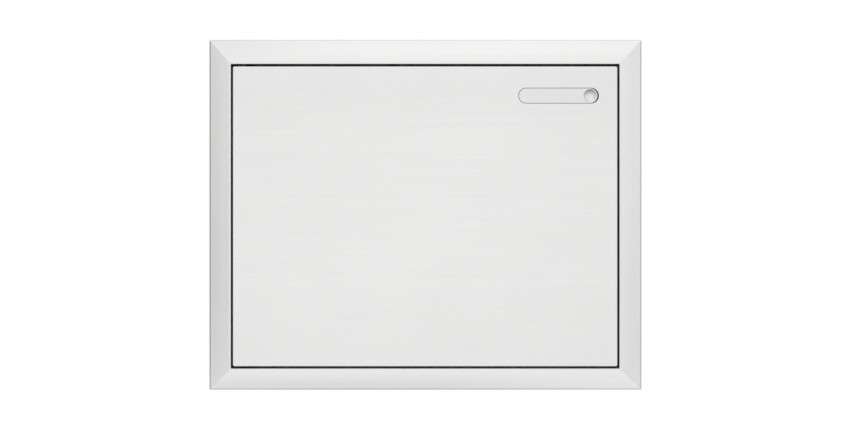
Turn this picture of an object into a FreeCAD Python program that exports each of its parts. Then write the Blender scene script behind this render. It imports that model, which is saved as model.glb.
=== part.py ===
"""Left-hinged access door for an outdoor kitchen island, in brushed stainless steel.

The origin is the centre of the opening, on the face of the island. X runs to the right, Y runs from
the front to the rear, and Z runs up. All lengths are in millimetres and all angles in degrees.
"""

import FreeCAD
import Part
import math
import os

Vector = FreeCAD.Vector
RIGHT = Vector(1, 0, 0)
REAR = Vector(0, 1, 0)
UP = Vector(0, 0, 1)
MIDDLE = Vector(0, 0, 0)

# Trim frame
trim_width = 609.6
trim_height = 493.7
side_rail_width = 33.8
top_rail_width = 35.5
bottom_rail_width = 33.3
trim_corner_radius = 3.0
frame_sheet = 1.5
proud = 16.0
edge_height = 4.5
crown_from_mouth = 12.2
crown_drop = 2.1
mouth_rise = 0.4
back_flange = 9.0
sleeve_depth = 45.0
rear_lip = 8.0
back_bend_radius = 2.5
edge_bend_radius = 2.4
crown_radius = 60.0
mouth_bend_radius = 2.2
lip_bend_radius = 1.0
fixing_hole_radius = 2.75
fixing_hole_depth = 34.0
side_hole_spacing = 260.0
head_hole_spacing = 380.0

# Door leaf
side_reveal = 2.3
end_reveal = 2.9
skin_sheet = 1.2
door_corner_radius = 2.5
door_edge_radius = 1.6
skin_flange = 13.0
liner_sheet = 1.0
liner_margin = 3.0
field_inset = 31.0
field_rise = 3.0
field_slope_run = 3.0
field_corner_radius = 14.0
housing_rear_gap = 1.3

# Stiffeners inside the leaf
stiffener_gap = 3.1
stiffener_sheet = 1.2
stiffener_crown = 24.0
stiffener_foot = 12.0
stiffener_slope_run = 5.0
stiffener_end_gap = 8.0
stiffener_bend_radius = 2.0

# Perimeter seal
seal_inset = 20.0
seal_width = 8.0
seal_cover = 1.1
soft_clearance = 0.3

# Door stops
swing_clearance = 1.9
stop_leg = 12.0
stop_safety_edge = 6.0
stop_bend_radius = 2.0

# Pivots
pivot_inset = 14.0
pivot_setback = 8.0
pin_radius = 3.0
running_clearance = 0.05
press_allowance = 0.01
guide_clearance = 0.15
bush_wall = 1.25
bush_flange_radius = 6.5
upper_bush_flange = 1.0
hinge_plate_thickness = 3.0
hinge_plate_reach = 45.0
hinge_plate_drop = 30.0
hinge_plate_rear_gap = 1.0
hinge_plate_front_gap = 1.2
pin_overrun = 1.5
pin_tip_sunk = 0.6
pin_nose_chamfer = 1.2
bracket_sheet = 2.0
bracket_bend_radius = 3.0
bracket_front_gap = 0.8
bracket_depth = 14.0
bracket_reach = 22.0
guide_height = 42.0
collar_drop = 20.0
collar_radius = 5.5
collar_thickness = 4.0
pin_tail = 2.0
stem_radius = 1.75
slot_clearance = 0.3
knob_radius = 4.0
knob_length = 4.2
knob_gap = 0.8
knob_chamfer = 0.6
spring_wire = 1.0
spring_mean_radius = 4.2
spring_turns = 5
spring_end_gap = 0.1
lower_pin_reach = 12.0
thrust_washer_thickness = 1.2
thrust_gap = 0.1
lower_bush_length = 13.0
lower_bracket_sheet = 3.0
lower_bracket_rise = 26.0

# Corner cleats at the latch side
cleat_sheet = 2.0
cleat_leg = 26.0

# Handle
handle_from_latch_edge = 26.1
handle_from_top = 30.1
pocket_length = 112.5
pocket_width = 21.9
housing_wall = 1.5
housing_flange = 8.0
housing_floor_radius = 2.5
lever_side_gap = 0.5
lever_push_gap = 1.7
lever_thickness = 5.0
lever_edge_radius = 0.8
lever_swing = 26.0
dimple_land = 0.6
dimple_depth = 3.4
dimple_edge_radius = 0.4
pivot_from_push_end = 28.0
lever_pivot_depth = 8.4
lever_floor_gap = 0.7
lug_radius = 4.6
lug_thickness = 3.5
lug_root = 1.0
lug_inner_half_gap = 6.5
lever_pin_radius = 2.0
lever_pin_tail = 1.9
lever_pin_hole_gap = 0.1
clip_radius = 3.9
clip_thickness = 0.6
clip_groove_depth = 0.4
clip_mouth = 2.4
lever_bush_wall = 1.0
lever_spring_wire = 0.9
lever_spring_mean_radius = 2.75
lever_spring_turns = 4
lever_spring_pitch = 1.5
lever_spring_upper_leg = 11.0
lever_spring_lower_leg = 13.0
lever_spring_seat_gap = 0.15
rest_boss_from_tail = 8.0
rest_boss_radius = 4.0
rest_pad_thickness = 1.4
stud_spacing_x = 72.0
stud_spacing_z = 32.4
stud_radius = 1.5
stud_length = 6.5
nut_width = 5.5
nut_height = 2.4

# Magnetic catches, strikes and bumpers
catch_from_end = 91.0
catch_width = 13.0
catch_length = 62.0
catch_corner_radius = 3.0
catch_screw_spacing = 50.0
catch_screw_radius = 1.75
catch_screw_head_radius = 3.4
catch_screw_head_depth = 1.9
catch_screw_length = 11.0
strike_thickness = 1.0
strike_length = 66.0
strike_corner_radius = 2.0
strike_rivet_spacing = 54.0
strike_rivet_radius = 1.6
strike_rivet_head_radius = 2.6
strike_rivet_head_depth = 0.8
strike_rivet_length = 4.0
catch_gap = 0.3
pole_proud = 0.3
magnet_length = 34.0
magnet_width = 6.0
magnet_depth = 4.0
pole_thickness = 1.2
pocket_play = 0.1
bumper_from_end = 36.0
bumper_radius = 5.0
bumper_neck_radius = 2.4
bumper_barb_radius = 3.2
bumper_barb_length = 4.0
bumper_dome = 2.7

# How far a cutter runs past what it cuts
cut_past = 1.0

# Liner screws
screw_inset = 7.2
screw_spacing_x = 147.0
screw_columns = 4
strike_screw_gap = 17.0
screw_radius = 1.9
screw_length = 9.0
screw_head_radius = 3.8
screw_head_height = 2.2
screw_head_chamfer = 0.9

# Places that follow from the sizes above
opening_width = trim_width - 2 * side_rail_width
opening_height = trim_height - top_rail_width - bottom_rail_width
trim_top = opening_height / 2 + top_rail_width
trim_bottom = opening_height / 2 + bottom_rail_width
door_width = opening_width - 2 * side_reveal
door_height = opening_height - 2 * end_reveal
door_right = door_width / 2
door_top = door_height / 2
face_y = -proud
swing_radians = math.radians(lever_swing)
pocket_depth = (
    lever_pivot_depth
    + pivot_from_push_end * math.sin(swing_radians)
    - (lever_pivot_depth - lever_thickness) * math.cos(swing_radians)
    + lever_floor_gap
)
skin_depth = pocket_depth + housing_wall + housing_rear_gap
skin_front_inner_y = face_y + skin_sheet
skin_back_y = face_y + skin_depth
liner_back_y = skin_back_y + liner_sheet
field_back_y = liner_back_y + field_rise
pivot_x = pivot_inset - door_right
pivot_y = face_y + pivot_setback
stop_front_y = pivot_y + math.hypot(pivot_inset, skin_back_y - pivot_y) + swing_clearance
stop_width = max(side_reveal, end_reveal) + seal_inset + seal_width + seal_cover
seal_height = stop_front_y - liner_back_y - soft_clearance
sleeve_outer_x = opening_width / 2 + frame_sheet
sleeve_outer_z = opening_height / 2 + frame_sheet
strip_x = door_right - seal_inset / 2
bush_radius = pin_radius + running_clearance + bush_wall
hinge_plate_front_y = face_y + frame_sheet + hinge_plate_front_gap
pin_tip_z = sleeve_outer_z + hinge_plate_thickness + pin_overrun
pin_travel = pin_tip_z - door_top + pin_tip_sunk
skin_top_inner_z = door_top - skin_sheet
skin_left_inner_x = skin_sheet - door_right
upper_ear_z = skin_top_inner_z - bracket_sheet
lower_ear_top_z = upper_ear_z - guide_height
lower_ear_z = lower_ear_top_z - bracket_sheet
collar_top_z = upper_ear_z - collar_drop
collar_z = collar_top_z - collar_thickness
stem_z = collar_z + collar_thickness / 2
bracket_front_y = skin_front_inner_y + bracket_front_gap
pocket_radius = pocket_width / 2
handle_x = door_right - handle_from_latch_edge - pocket_length / 2
handle_z = door_top - handle_from_top - pocket_radius
lever_left_x = handle_x - pocket_length / 2 + lever_side_gap
lever_right_x = handle_x + pocket_length / 2 - lever_push_gap
lever_radius = pocket_radius - lever_side_gap
dimple_radius = lever_radius - lever_edge_radius - dimple_land
lever_back_y = face_y + lever_thickness
lever_pivot_x = lever_right_x - pivot_from_push_end
lever_pivot_y = face_y + lever_pivot_depth
housing_outer_radius = pocket_radius + housing_wall
housing_floor_y = face_y + pocket_depth
rest_boss_x = lever_left_x + rest_boss_from_tail
strike_back_y = liner_back_y + strike_thickness
catch_z = door_top - catch_from_end
side_screw_z = catch_z - strike_length / 2 - strike_screw_gap
stiffener_half_width = stiffener_crown / 2 + stiffener_slope_run + stiffener_foot
housing_left_x = handle_x - pocket_length / 2 - housing_wall - housing_flange
latch_side_stiffener_x = housing_left_x - stiffener_gap - stiffener_half_width
catch_front_y = strike_back_y + catch_gap + pole_proud


def corner_arc(before, corner, after, radius):
    """Start, middle and end of the arc that rounds a corner."""
    back = (before - corner).normalize()
    on = (after - corner).normalize()
    half_angle = back.getAngle(on) / 2
    reach = radius / math.tan(half_angle)
    inward = (back + on).normalize()
    middle = corner + inward * (radius / math.sin(half_angle) - radius)
    return corner + back * reach, middle, corner + on * reach


def rounded_line(points, radii):
    """Edges through points, with a tangent arc at each inner point whose radius isn't zero."""
    edges = []
    start = points[0]
    for before, corner, after, radius in zip(points, points[1:], points[2:], radii):
        if radius > 0:
            arc_start, arc_middle, arc_end = corner_arc(before, corner, after, radius)
            edges.append(Part.LineSegment(start, arc_start).toShape())
            edges.append(Part.Arc(arc_start, arc_middle, arc_end).toShape())
            start = arc_end
        else:
            edges.append(Part.LineSegment(start, corner).toShape())
            start = corner
    edges.append(Part.LineSegment(start, points[-1]).toShape())
    return edges


def directions(corners):
    """Unit direction of each run between flat corners."""
    found = []
    for (u0, v0), (u1, v1) in zip(corners, corners[1:]):
        length = math.hypot(u1 - u0, v1 - v0)
        found.append(((u1 - u0) / length, (v1 - v0) / length))
    return found


def offset_corners(corners, thickness):
    """The corners of the line that lies a sheet's thickness to the right of a line of corners."""
    normals = [(v, -u) for u, v in directions(corners)]
    moved = []
    for (u, v), (nu, nv), (mu, mv) in zip(corners, normals[:1] + normals, normals + normals[-1:]):
        share = thickness / (1 + nu * mu + nv * mv)
        moved.append((u + (nu + mu) * share, v + (nv + mv) * share))
    return moved


def bent_sheet(corners, radii, thickness, place):
    """Section face of a bent sheet. The corners run along one side and the sheet lies to their right."""
    runs = directions(corners)
    other_radii = []
    for radius, (u0, v0), (u1, v1) in zip(radii, runs, runs[1:]):
        turn = math.copysign(1, u0 * v1 - v0 * u1)
        other_radii.append(radius + turn * thickness)
    one_side = [place(u, v) for u, v in corners]
    other_side = [place(u, v) for u, v in offset_corners(corners, thickness)]
    edges = rounded_line(one_side, radii) + rounded_line(other_side, other_radii)
    edges.append(Part.LineSegment(one_side[0], other_side[0]).toShape())
    edges.append(Part.LineSegment(one_side[-1], other_side[-1]).toShape())
    return Part.Face(Part.Wire(Part.__sortEdges__(edges)))


def cylinder(radius, start, direction, length):
    """Round bar from a start point along a direction."""
    return Part.makeCylinder(radius, length, start, direction)


def bore(radius, start, direction, length):
    """Cutter for a round hole, which runs past both ends of what it goes through."""
    return cylinder(radius, start - direction * cut_past, direction, length + 2 * cut_past)


def rounded_rectangle(width, height, radius, y):
    """Wire of a rectangle with round corners, upright at depth y."""
    x, z = width / 2, height / 2
    points = [
        Vector(0, y, -z), Vector(x, y, -z), Vector(x, y, z),
        Vector(-x, y, z), Vector(-x, y, -z), Vector(0, y, -z),
    ]
    return Part.Wire(rounded_line(points, [radius] * 4))


def upright_plate(width, height, radius, front_y, back_y):
    """Plate with round corners that stands upright between two depths."""
    face = Part.Face(rounded_rectangle(width, height, radius, front_y))
    return face.extrude(REAR * (back_y - front_y))


def pill(left_x, right_x, radius, front_y, back_y):
    """Bar with half-round ends along X, at the handle's height, between two depths."""
    left = Vector(left_x + radius, front_y, handle_z)
    right = Vector(right_x - radius, front_y, handle_z)
    rise = UP * radius
    reach = RIGHT * radius
    edges = [
        Part.LineSegment(left - rise, right - rise).toShape(),
        Part.Arc(right - rise, right + reach, right + rise).toShape(),
        Part.LineSegment(right + rise, left + rise).toShape(),
        Part.Arc(left + rise, left - reach, left - rise).toShape(),
    ]
    return Part.Face(Part.Wire(edges)).extrude(REAR * (back_y - front_y))


def edges_at(shape, y):
    """The edges that lie flat at one depth."""
    slack = 1e-6
    return [e for e in shape.Edges if abs(e.BoundBox.YMin - y) < slack and abs(e.BoundBox.YMax - y) < slack]


def fuse(pieces):
    """One solid from pieces that meet."""
    whole = pieces[0].multiFuse(pieces[1:]) if len(pieces) > 1 else pieces[0]
    return whole.removeSplitter()


def turned_side(solid, angle):
    """A side of the frame made for the bottom, turned about the depth axis to another side."""
    return solid.rotate(MIDDLE, REAR, angle)


BOTTOM, LATCH_SIDE, TOP, HINGE_SIDE = 0, -90, 180, 90


def mitred_side(corners, radii, thickness, ends, distance, angle, slants, knee):
    """A bent sheet along one side of the frame, mitred at both ends.

    The corners give the distance in from the side's outer edge and the height in front of the island.
    """
    low, high = ends
    section = bent_sheet(corners, radii, thickness, lambda u, v: Vector(low, -v, u - distance))
    bar = section.extrude(RIGHT * (high - low))
    return turned_side(bar.common(mitre_block(bar, ends, distance, slants, knee)), angle)


def mitre_block(bar, ends, distance, slants, knee):
    """Wedge-ended block that holds what a mitred side keeps of its bar.

    Each end runs in by its own slant up to the knee, and at 45 degrees from there.
    """
    low, high = ends
    low_knee = low + knee * slants[0]
    high_knee = high - knee * slants[1]
    box = bar.BoundBox
    reach = box.ZMax + distance + cut_past
    outline = [
        (low, 0), (high, 0), (high_knee, knee), (high_knee + knee - reach, reach),
        (low_knee + reach - knee, reach), (low_knee, knee), (low, 0),
    ]
    front = box.YMin - cut_past
    wire = Part.makePolygon([Vector(x, front, inward - distance) for x, inward in outline])
    return Part.Face(wire).extrude(REAR * (box.YLength + 2 * cut_past))


def fixing_holes(spacing):
    """The pair of screw holes through the bottom sleeve wall, before it is turned to its side."""
    holes = [
        cylinder(fixing_hole_radius, Vector(x, fixing_hole_depth, -trim_width), UP, trim_width)
        for x in (-spacing / 2, spacing / 2)
    ]
    return Part.makeCompound(holes)


def rail_slant(width, neighbour_width):
    """Run along a rail for each step in from its edge, so that its mitre meets the sleeve's corner."""
    return (neighbour_width - frame_sheet) / (width - frame_sheet)


def frame_rail(width, ends, distance, angle, neighbours, hole_spacing):
    """One side of the trim: back flange, edge, crowned face, sleeve wall and rear lip."""
    crown = frame_sheet + (crown_from_mouth - frame_sheet) / rail_slant(width, side_rail_width)
    corners = [
        (back_flange, 0),
        (0, 0),
        (0, edge_height),
        (width - crown, proud + mouth_rise - crown_drop),
        (width, proud + mouth_rise),
        (width, frame_sheet - sleeve_depth),
        (width + rear_lip, frame_sheet - sleeve_depth),
    ]
    radii = [back_bend_radius, edge_bend_radius, crown_radius, mouth_bend_radius, lip_bend_radius]
    slants = [rail_slant(width, neighbour) for neighbour in neighbours]
    rail = mitred_side(corners, radii, frame_sheet, ends, distance, angle, slants, width - frame_sheet)
    outline = upright_plate(trim_width, trim_height, trim_corner_radius, face_y, sleeve_depth)
    outline.translate(UP * (trim_top - trim_bottom) / 2)
    return rail.common(outline).cut(turned_side(fixing_holes(hole_spacing), angle))


def top_rail():
    """Top side of the trim, bored for the upper hinge bush."""
    ends = (-trim_width / 2, trim_width / 2)
    rail = frame_rail(top_rail_width, ends, trim_top, TOP, [side_rail_width] * 2, head_hole_spacing)
    return rail.cut(pivot_bore(bush_radius, opening_height / 2))


def bottom_rail():
    """Bottom side of the trim, bored for the lower hinge pin."""
    ends = (-trim_width / 2, trim_width / 2)
    rail = frame_rail(bottom_rail_width, ends, trim_bottom, BOTTOM, [side_rail_width] * 2, head_hole_spacing)
    return rail.cut(pivot_bore(pin_radius, -sleeve_outer_z))


def pivot_bore(radius, low_z):
    """Cutter for a press-fit hole on the door's pivot axis, through a sleeve wall and its hinge plate."""
    depth = frame_sheet + hinge_plate_thickness
    return bore(radius + press_allowance, Vector(pivot_x, pivot_y, low_z), UP, depth)


def hinge_stile():
    """Left side of the trim."""
    ends = (-trim_top, trim_bottom)
    neighbours = [top_rail_width, bottom_rail_width]
    return frame_rail(side_rail_width, ends, trim_width / 2, HINGE_SIDE, neighbours, side_hole_spacing)


def latch_stile():
    """Right side of the trim."""
    ends = (-trim_bottom, trim_top)
    neighbours = [bottom_rail_width, top_rail_width]
    return frame_rail(side_rail_width, ends, trim_width / 2, LATCH_SIDE, neighbours, side_hole_spacing)


def stop_side(length, distance, angle):
    """Angle welded inside the sleeve, with the flange that the door's seal and bumpers meet."""
    corners = [
        (0, -stop_front_y - stop_leg),
        (0, -stop_front_y),
        (stop_width, -stop_front_y),
        (stop_width, -stop_front_y - stop_safety_edge),
    ]
    radii = [stop_bend_radius, stop_bend_radius]
    ends = (-length / 2, length / 2)
    return mitred_side(corners, radii, frame_sheet, ends, distance, angle, (1, 1), stop_width)


def top_stop():
    """Stop under the top sleeve wall."""
    return stop_side(opening_width, opening_height / 2, TOP)


def bottom_stop():
    """Stop over the bottom sleeve wall."""
    return stop_side(opening_width, opening_height / 2, BOTTOM)


def hinge_stop():
    """Stop at the hinge side, set back far enough for the leaf's edge to swing in front of it."""
    return stop_side(opening_height, opening_width / 2, HINGE_SIDE)


def latch_stop():
    """Stop at the latch side, bored for the catch screws and the bumpers."""
    stop = stop_side(opening_height, opening_width / 2, LATCH_SIDE)
    holes = [
        bore(radius + press_allowance, Vector(strip_x, stop_front_y, z), REAR, frame_sheet)
        for radius, heights in (
            (catch_screw_radius, catch_screw_heights()),
            (bumper_neck_radius, bumper_heights()),
        )
        for z in heights
    ]
    return stop.cut(Part.makeCompound(holes))


def corner_angle(thickness, reach, drop, side, end):
    """Angle that hugs the outside of the sleeve at one corner, inside the hollow of the trim."""
    corners = [
        (sleeve_outer_x - reach, sleeve_outer_z),
        (sleeve_outer_x, sleeve_outer_z),
        (sleeve_outer_x, sleeve_outer_z - drop),
    ]
    outward = [(-u, v) for u, v in corners]
    face = bent_sheet(
        outward, [0], thickness, lambda u, v: Vector(-side * u, hinge_plate_front_y, end * v)
    )
    return face.extrude(REAR * (-hinge_plate_rear_gap - hinge_plate_front_y))


LEFT_HAND, RIGHT_HAND, LOWER_END, UPPER_END = -1, 1, -1, 1


def corner_cleats():
    """The two angles that join the mitres at the latch side."""
    return Part.makeCompound([
        corner_angle(cleat_sheet, cleat_leg, cleat_leg, RIGHT_HAND, end) for end in (LOWER_END, UPPER_END)
    ])


def hinge_plate(end, bore_radius, bore_z):
    """Thick angle that joins a mitre at the hinge side and carries a pivot."""
    plate = corner_angle(hinge_plate_thickness, hinge_plate_reach, hinge_plate_drop, LEFT_HAND, end)
    return plate.cut(pivot_bore(bore_radius, bore_z))


def upper_hinge_plate():
    """Angle that holds the upper bush."""
    return hinge_plate(UPPER_END, bush_radius, opening_height / 2)


def lower_hinge_plate():
    """Angle that holds the fixed lower pin."""
    return hinge_plate(LOWER_END, pin_radius, -sleeve_outer_z - hinge_plate_thickness)


def upper_hinge_bush():
    """Flanged nylon bush, pressed into the top sleeve wall and its plate from the opening."""
    flange_z = opening_height / 2 - upper_bush_flange
    length = upper_bush_flange + frame_sheet + hinge_plate_thickness
    start = Vector(pivot_x, pivot_y, flange_z)
    body = fuse([
        cylinder(bush_flange_radius, start, UP, upper_bush_flange),
        cylinder(bush_radius, start, UP, length),
    ])
    return body.cut(bore(pin_radius + running_clearance, start, UP, length))


def lower_hinge_pin():
    """Fixed pin that the leaf turns and stands on."""
    start_z = -sleeve_outer_z - hinge_plate_thickness
    length = lower_pin_reach - door_top - start_z
    pin = cylinder(pin_radius, Vector(pivot_x, pivot_y, start_z), UP, length)
    top_edges = [e for e in pin.Edges if e.BoundBox.ZMin > start_z + length / 2]
    return pin.makeChamfer(pin_nose_chamfer, top_edges)


def lower_thrust_washer():
    """Nylon washer round the lower pin."""
    start = Vector(pivot_x, pivot_y, -opening_height / 2)
    washer = cylinder(bush_flange_radius, start, UP, thrust_washer_thickness)
    return washer.cut(cylinder(pin_radius + running_clearance, start, UP, thrust_washer_thickness))


def catch_heights():
    """Height of the middle of each catch."""
    return (-catch_z, catch_z)


def catch_screw_heights():
    """Height of each catch screw."""
    return [z + side * catch_screw_spacing / 2 for z in catch_heights() for side in (-1, 1)]


def bumper_heights():
    """Height of each bumper."""
    return (bumper_from_end - door_top, door_top - bumper_from_end)


def block(x_size, y_size, z_size, x_middle, front_y, z_middle):
    """Box given by its sizes, its middle across and up, and its front."""
    corner = Vector(x_middle - x_size / 2, front_y, z_middle - z_size / 2)
    return Part.makeBox(x_size, y_size, z_size, corner)


def countersunk_screw(head_radius, head_depth, shank_radius, length, start, direction):
    """Screw or rivet with a flat head, from the middle of its head along its direction."""
    head = Part.makeCone(head_radius, shank_radius, head_depth, start, direction)
    return fuse([head, cylinder(shank_radius, start, direction, length)])


def catch_screws():
    """The screws that hold the catches to the latch stop."""
    return Part.makeCompound([
        countersunk_screw(
            catch_screw_head_radius, catch_screw_head_depth, catch_screw_radius, catch_screw_length,
            Vector(strip_x, catch_front_y, z), REAR,
        )
        for z in catch_screw_heights()
    ])


def magnet_nest_width():
    """Width of the hole in a catch case that takes the magnet between its pole plates."""
    return magnet_width + 2 * pole_thickness + 2 * pocket_play


def catch_case(z):
    """Plastic case of one catch, with a nest for the magnet and two countersunk holes."""
    case = upright_plate(catch_width, catch_length, catch_corner_radius, catch_front_y, stop_front_y)
    case.translate(Vector(strip_x, 0, z))
    nest = block(
        magnet_nest_width(), magnet_depth, magnet_length + 2 * pocket_play, strip_x, catch_front_y, z
    )
    screws = [
        countersunk_screw(
            catch_screw_head_radius + press_allowance, catch_screw_head_depth,
            catch_screw_radius + press_allowance, catch_screw_length,
            Vector(strip_x, catch_front_y, z + side * catch_screw_spacing / 2), REAR,
        )
        for side in (-1, 1)
    ]
    return case.cut(Part.makeCompound([nest] + screws))


def catch_cases():
    """Both catch cases."""
    return Part.makeCompound([catch_case(z) for z in catch_heights()])


def catch_magnets():
    """The ceramic magnet in each catch."""
    return Part.makeCompound([
        block(magnet_width, magnet_depth, magnet_length, strip_x, catch_front_y, z) for z in catch_heights()
    ])


def catch_poles():
    """The two steel pole plates beside each magnet, standing a little proud of the case."""
    offset = (magnet_width + pole_thickness) / 2
    return Part.makeCompound([
        block(
            pole_thickness, magnet_depth + pole_proud, magnet_length,
            strip_x + side * offset, catch_front_y - pole_proud, z,
        )
        for z in catch_heights()
        for side in (-1, 1)
    ])


def domed_edge(crest, rim):
    """Arc of a turned dome, level at its crest, that comes down to its rim."""
    across = rim.x - crest.x
    drop = rim.y - crest.y
    radius = (across ** 2 + drop ** 2) / (2 * drop)
    half_angle = math.atan2(drop, across)
    middle = Vector(
        crest.x + radius * math.sin(half_angle), crest.y + radius * (1 - math.cos(half_angle)), crest.z
    )
    return Part.Arc(crest, middle, rim).toShape()


def door_bumper(z):
    """Rubber bumper with a domed face and a barbed plug pushed through the latch stop."""
    back = stop_front_y
    crest = back - seal_height
    outline = [
        Vector(0, crest, 0),
        Vector(bumper_radius, crest + bumper_dome, 0),
        Vector(bumper_radius, back, 0),
        Vector(bumper_neck_radius, back, 0),
        Vector(bumper_neck_radius, back + frame_sheet, 0),
        Vector(bumper_barb_radius, back + frame_sheet, 0),
        Vector(bumper_neck_radius / 2, back + frame_sheet + bumper_barb_length, 0),
        Vector(0, back + frame_sheet + bumper_barb_length, 0),
    ]
    edges = [domed_edge(outline[0], outline[1])]
    edges += [Part.LineSegment(a, b).toShape() for a, b in zip(outline[1:], outline[2:] + outline[:1])]
    bumper = Part.Face(Part.Wire(edges)).revolve(MIDDLE, REAR, 360)
    bumper.translate(Vector(strip_x, 0, z))
    return bumper


def door_bumpers():
    """The two bumpers at the latch side."""
    return Part.makeCompound([door_bumper(z) for z in bumper_heights()])


def leaf_box(margin, front_y, back_y):
    """The leaf's block with its round corners and edges, taken in all round by a margin."""
    corner = max(door_corner_radius - margin, 0.1)
    edge = max(door_edge_radius - margin, 0.1)
    body = upright_plate(door_width - 2 * margin, door_height - 2 * margin, corner, front_y, back_y)
    return body.makeFillet(edge, edges_at(body, front_y) + edges_at(body, back_y))


def door_skin():
    """Outer pan of the leaf: face, side walls and the flange that the liner is screwed to."""
    shell = leaf_box(0, face_y, skin_back_y)
    hollow = leaf_box(skin_sheet, skin_front_inner_y, skin_back_y - skin_sheet)
    window = upright_plate(
        door_width - 2 * skin_flange, door_height - 2 * skin_flange, skin_sheet,
        skin_back_y - 2 * skin_sheet, skin_back_y + cut_past,
    )
    handle_hole = pill(
        handle_x - pocket_length / 2, handle_x + pocket_length / 2, pocket_radius,
        face_y - cut_past, skin_front_inner_y + cut_past,
    )
    upper_hole = bore(
        pin_radius + guide_clearance, Vector(pivot_x, pivot_y, skin_top_inner_z), UP, skin_sheet
    )
    lower_hole = bore(bush_radius + press_allowance, Vector(pivot_x, pivot_y, -door_top), UP, skin_sheet)
    cutters = [hollow, window, handle_hole, upper_hole, lower_hole, stem_slot()]
    cutters += screw_holes() + strike_rivet_holes()
    return shell.cut(Part.makeCompound(cutters))


def liner_screw_places():
    """Across and up places of the screws round the liner."""
    first = -screw_spacing_x * (screw_columns - 1) / 2
    across = [first + screw_spacing_x * n for n in range(screw_columns)]
    top = door_top - screw_inset
    side = door_right - screw_inset
    places = [(x, z) for x in across for z in (-top, top)]
    places += [(x, z) for x in (-side, side) for z in (-side_screw_z, side_screw_z)]
    return places


def screw_holes():
    """Cutters for the liner screws through the liner and the flange of the skin."""
    return [
        bore(
            screw_radius + press_allowance, Vector(x, skin_back_y - skin_sheet, z), REAR,
            skin_sheet + liner_sheet,
        )
        for x, z in liner_screw_places()
    ]


def pan_screw(x, z):
    """One liner screw, with a chamfered pan head."""
    head_y = liner_back_y + screw_head_height
    outline = [
        Vector(0, head_y, 0),
        Vector(screw_head_radius - screw_head_chamfer, head_y, 0),
        Vector(screw_head_radius, head_y - screw_head_chamfer, 0),
        Vector(screw_head_radius, liner_back_y, 0),
        Vector(screw_radius, liner_back_y, 0),
        Vector(screw_radius, head_y - screw_length, 0),
        Vector(0, head_y - screw_length - screw_radius, 0),
    ]
    screw = Part.Face(Part.makePolygon(outline + outline[:1])).revolve(MIDDLE, REAR, 360)
    screw.translate(Vector(x, 0, z))
    return screw


def liner_screws():
    """All the screws round the liner."""
    return Part.makeCompound([pan_screw(x, z) for x, z in liner_screw_places()])


def field_block(front_y, back_y, grow):
    """The raised field of the liner: a shallow block with sloping sides."""
    width = door_width - 2 * field_inset + 2 * grow
    height = door_height - 2 * field_inset + 2 * grow
    foot = rounded_rectangle(width, height, field_corner_radius, front_y)
    run = field_slope_run
    crown = rounded_rectangle(width - 2 * run, height - 2 * run, field_corner_radius - run, back_y)
    return Part.makeLoft([foot, crown], True, True)


def door_liner():
    """Inner pan of the leaf, with a raised field and the slot for the hinge pin's stem."""
    plate = upright_plate(
        door_width - 2 * liner_margin, door_height - 2 * liner_margin, door_corner_radius,
        skin_back_y, liner_back_y,
    )
    raised = fuse([plate, field_block(liner_back_y, field_back_y, 0)])
    hollow = field_block(skin_back_y, field_back_y - liner_sheet, 0)
    return raised.cut(Part.makeCompound([hollow, stem_slot()] + screw_holes() + strike_rivet_holes()))


def stem_slot():
    """Cutter for the slot that the stem travels in, through the liner and into the edge of the skin's flange."""
    radius = stem_radius + slot_clearance
    low = Vector(pivot_x, skin_back_y - skin_sheet - cut_past, stem_z - pin_travel)
    depth = skin_sheet + liner_sheet + 2 * cut_past
    middle = block(2 * radius, depth, pin_travel, pivot_x, low.y, stem_z - pin_travel / 2)
    ends = [cylinder(radius, low, REAR, depth), cylinder(radius, low + UP * pin_travel, REAR, depth)]
    return fuse([middle] + ends)


def stiffener(x_middle):
    """Hat channel that ties the face of the leaf to the liner."""
    front = skin_front_inner_y
    back = field_back_y - liner_sheet
    half_crown = stiffener_crown / 2
    half_mouth = half_crown + stiffener_slope_run
    corners = [
        (-half_mouth - stiffener_foot, front),
        (-half_mouth, front),
        (-half_crown, back - stiffener_sheet),
        (half_crown, back - stiffener_sheet),
        (half_mouth, front),
        (half_mouth + stiffener_foot, front),
    ]
    left_side_first = [(u, v) for u, v in reversed(corners)]
    half_length = door_top - field_inset - field_slope_run - stiffener_end_gap
    face = bent_sheet(
        left_side_first, [stiffener_bend_radius] * 4, stiffener_sheet,
        lambda u, v: Vector(x_middle + u, v, -half_length),
    )
    return face.extrude(UP * (2 * half_length))


def hinge_side_stiffener():
    """Stiffener nearer the hinges."""
    return stiffener(-latch_side_stiffener_x)


def latch_side_stiffener():
    """Stiffener nearer the handle."""
    return stiffener(latch_side_stiffener_x)


def seal_run(length, distance, angle):
    """One side of the seal: a strip with a half-round bead, mitred at its ends."""
    radius = seal_width / 2
    base_y = liner_back_y
    bead_y = liner_back_y + seal_height - radius
    x = -length / 2
    foot = [Vector(x, base_y, -distance), Vector(x, base_y, seal_width - distance)]
    shoulder = [Vector(x, bead_y, -distance), Vector(x, bead_y, seal_width - distance)]
    crest = Vector(x, bead_y + radius, radius - distance)
    edges = [
        Part.LineSegment(shoulder[0], foot[0]).toShape(),
        Part.LineSegment(foot[0], foot[1]).toShape(),
        Part.LineSegment(foot[1], shoulder[1]).toShape(),
        Part.Arc(shoulder[1], crest, shoulder[0]).toShape(),
    ]
    bar = Part.Face(Part.Wire(edges)).extrude(RIGHT * length)
    ends = (-length / 2, length / 2)
    return turned_side(bar.common(mitre_block(bar, ends, distance, (1, 1), seal_width)), angle)


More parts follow.
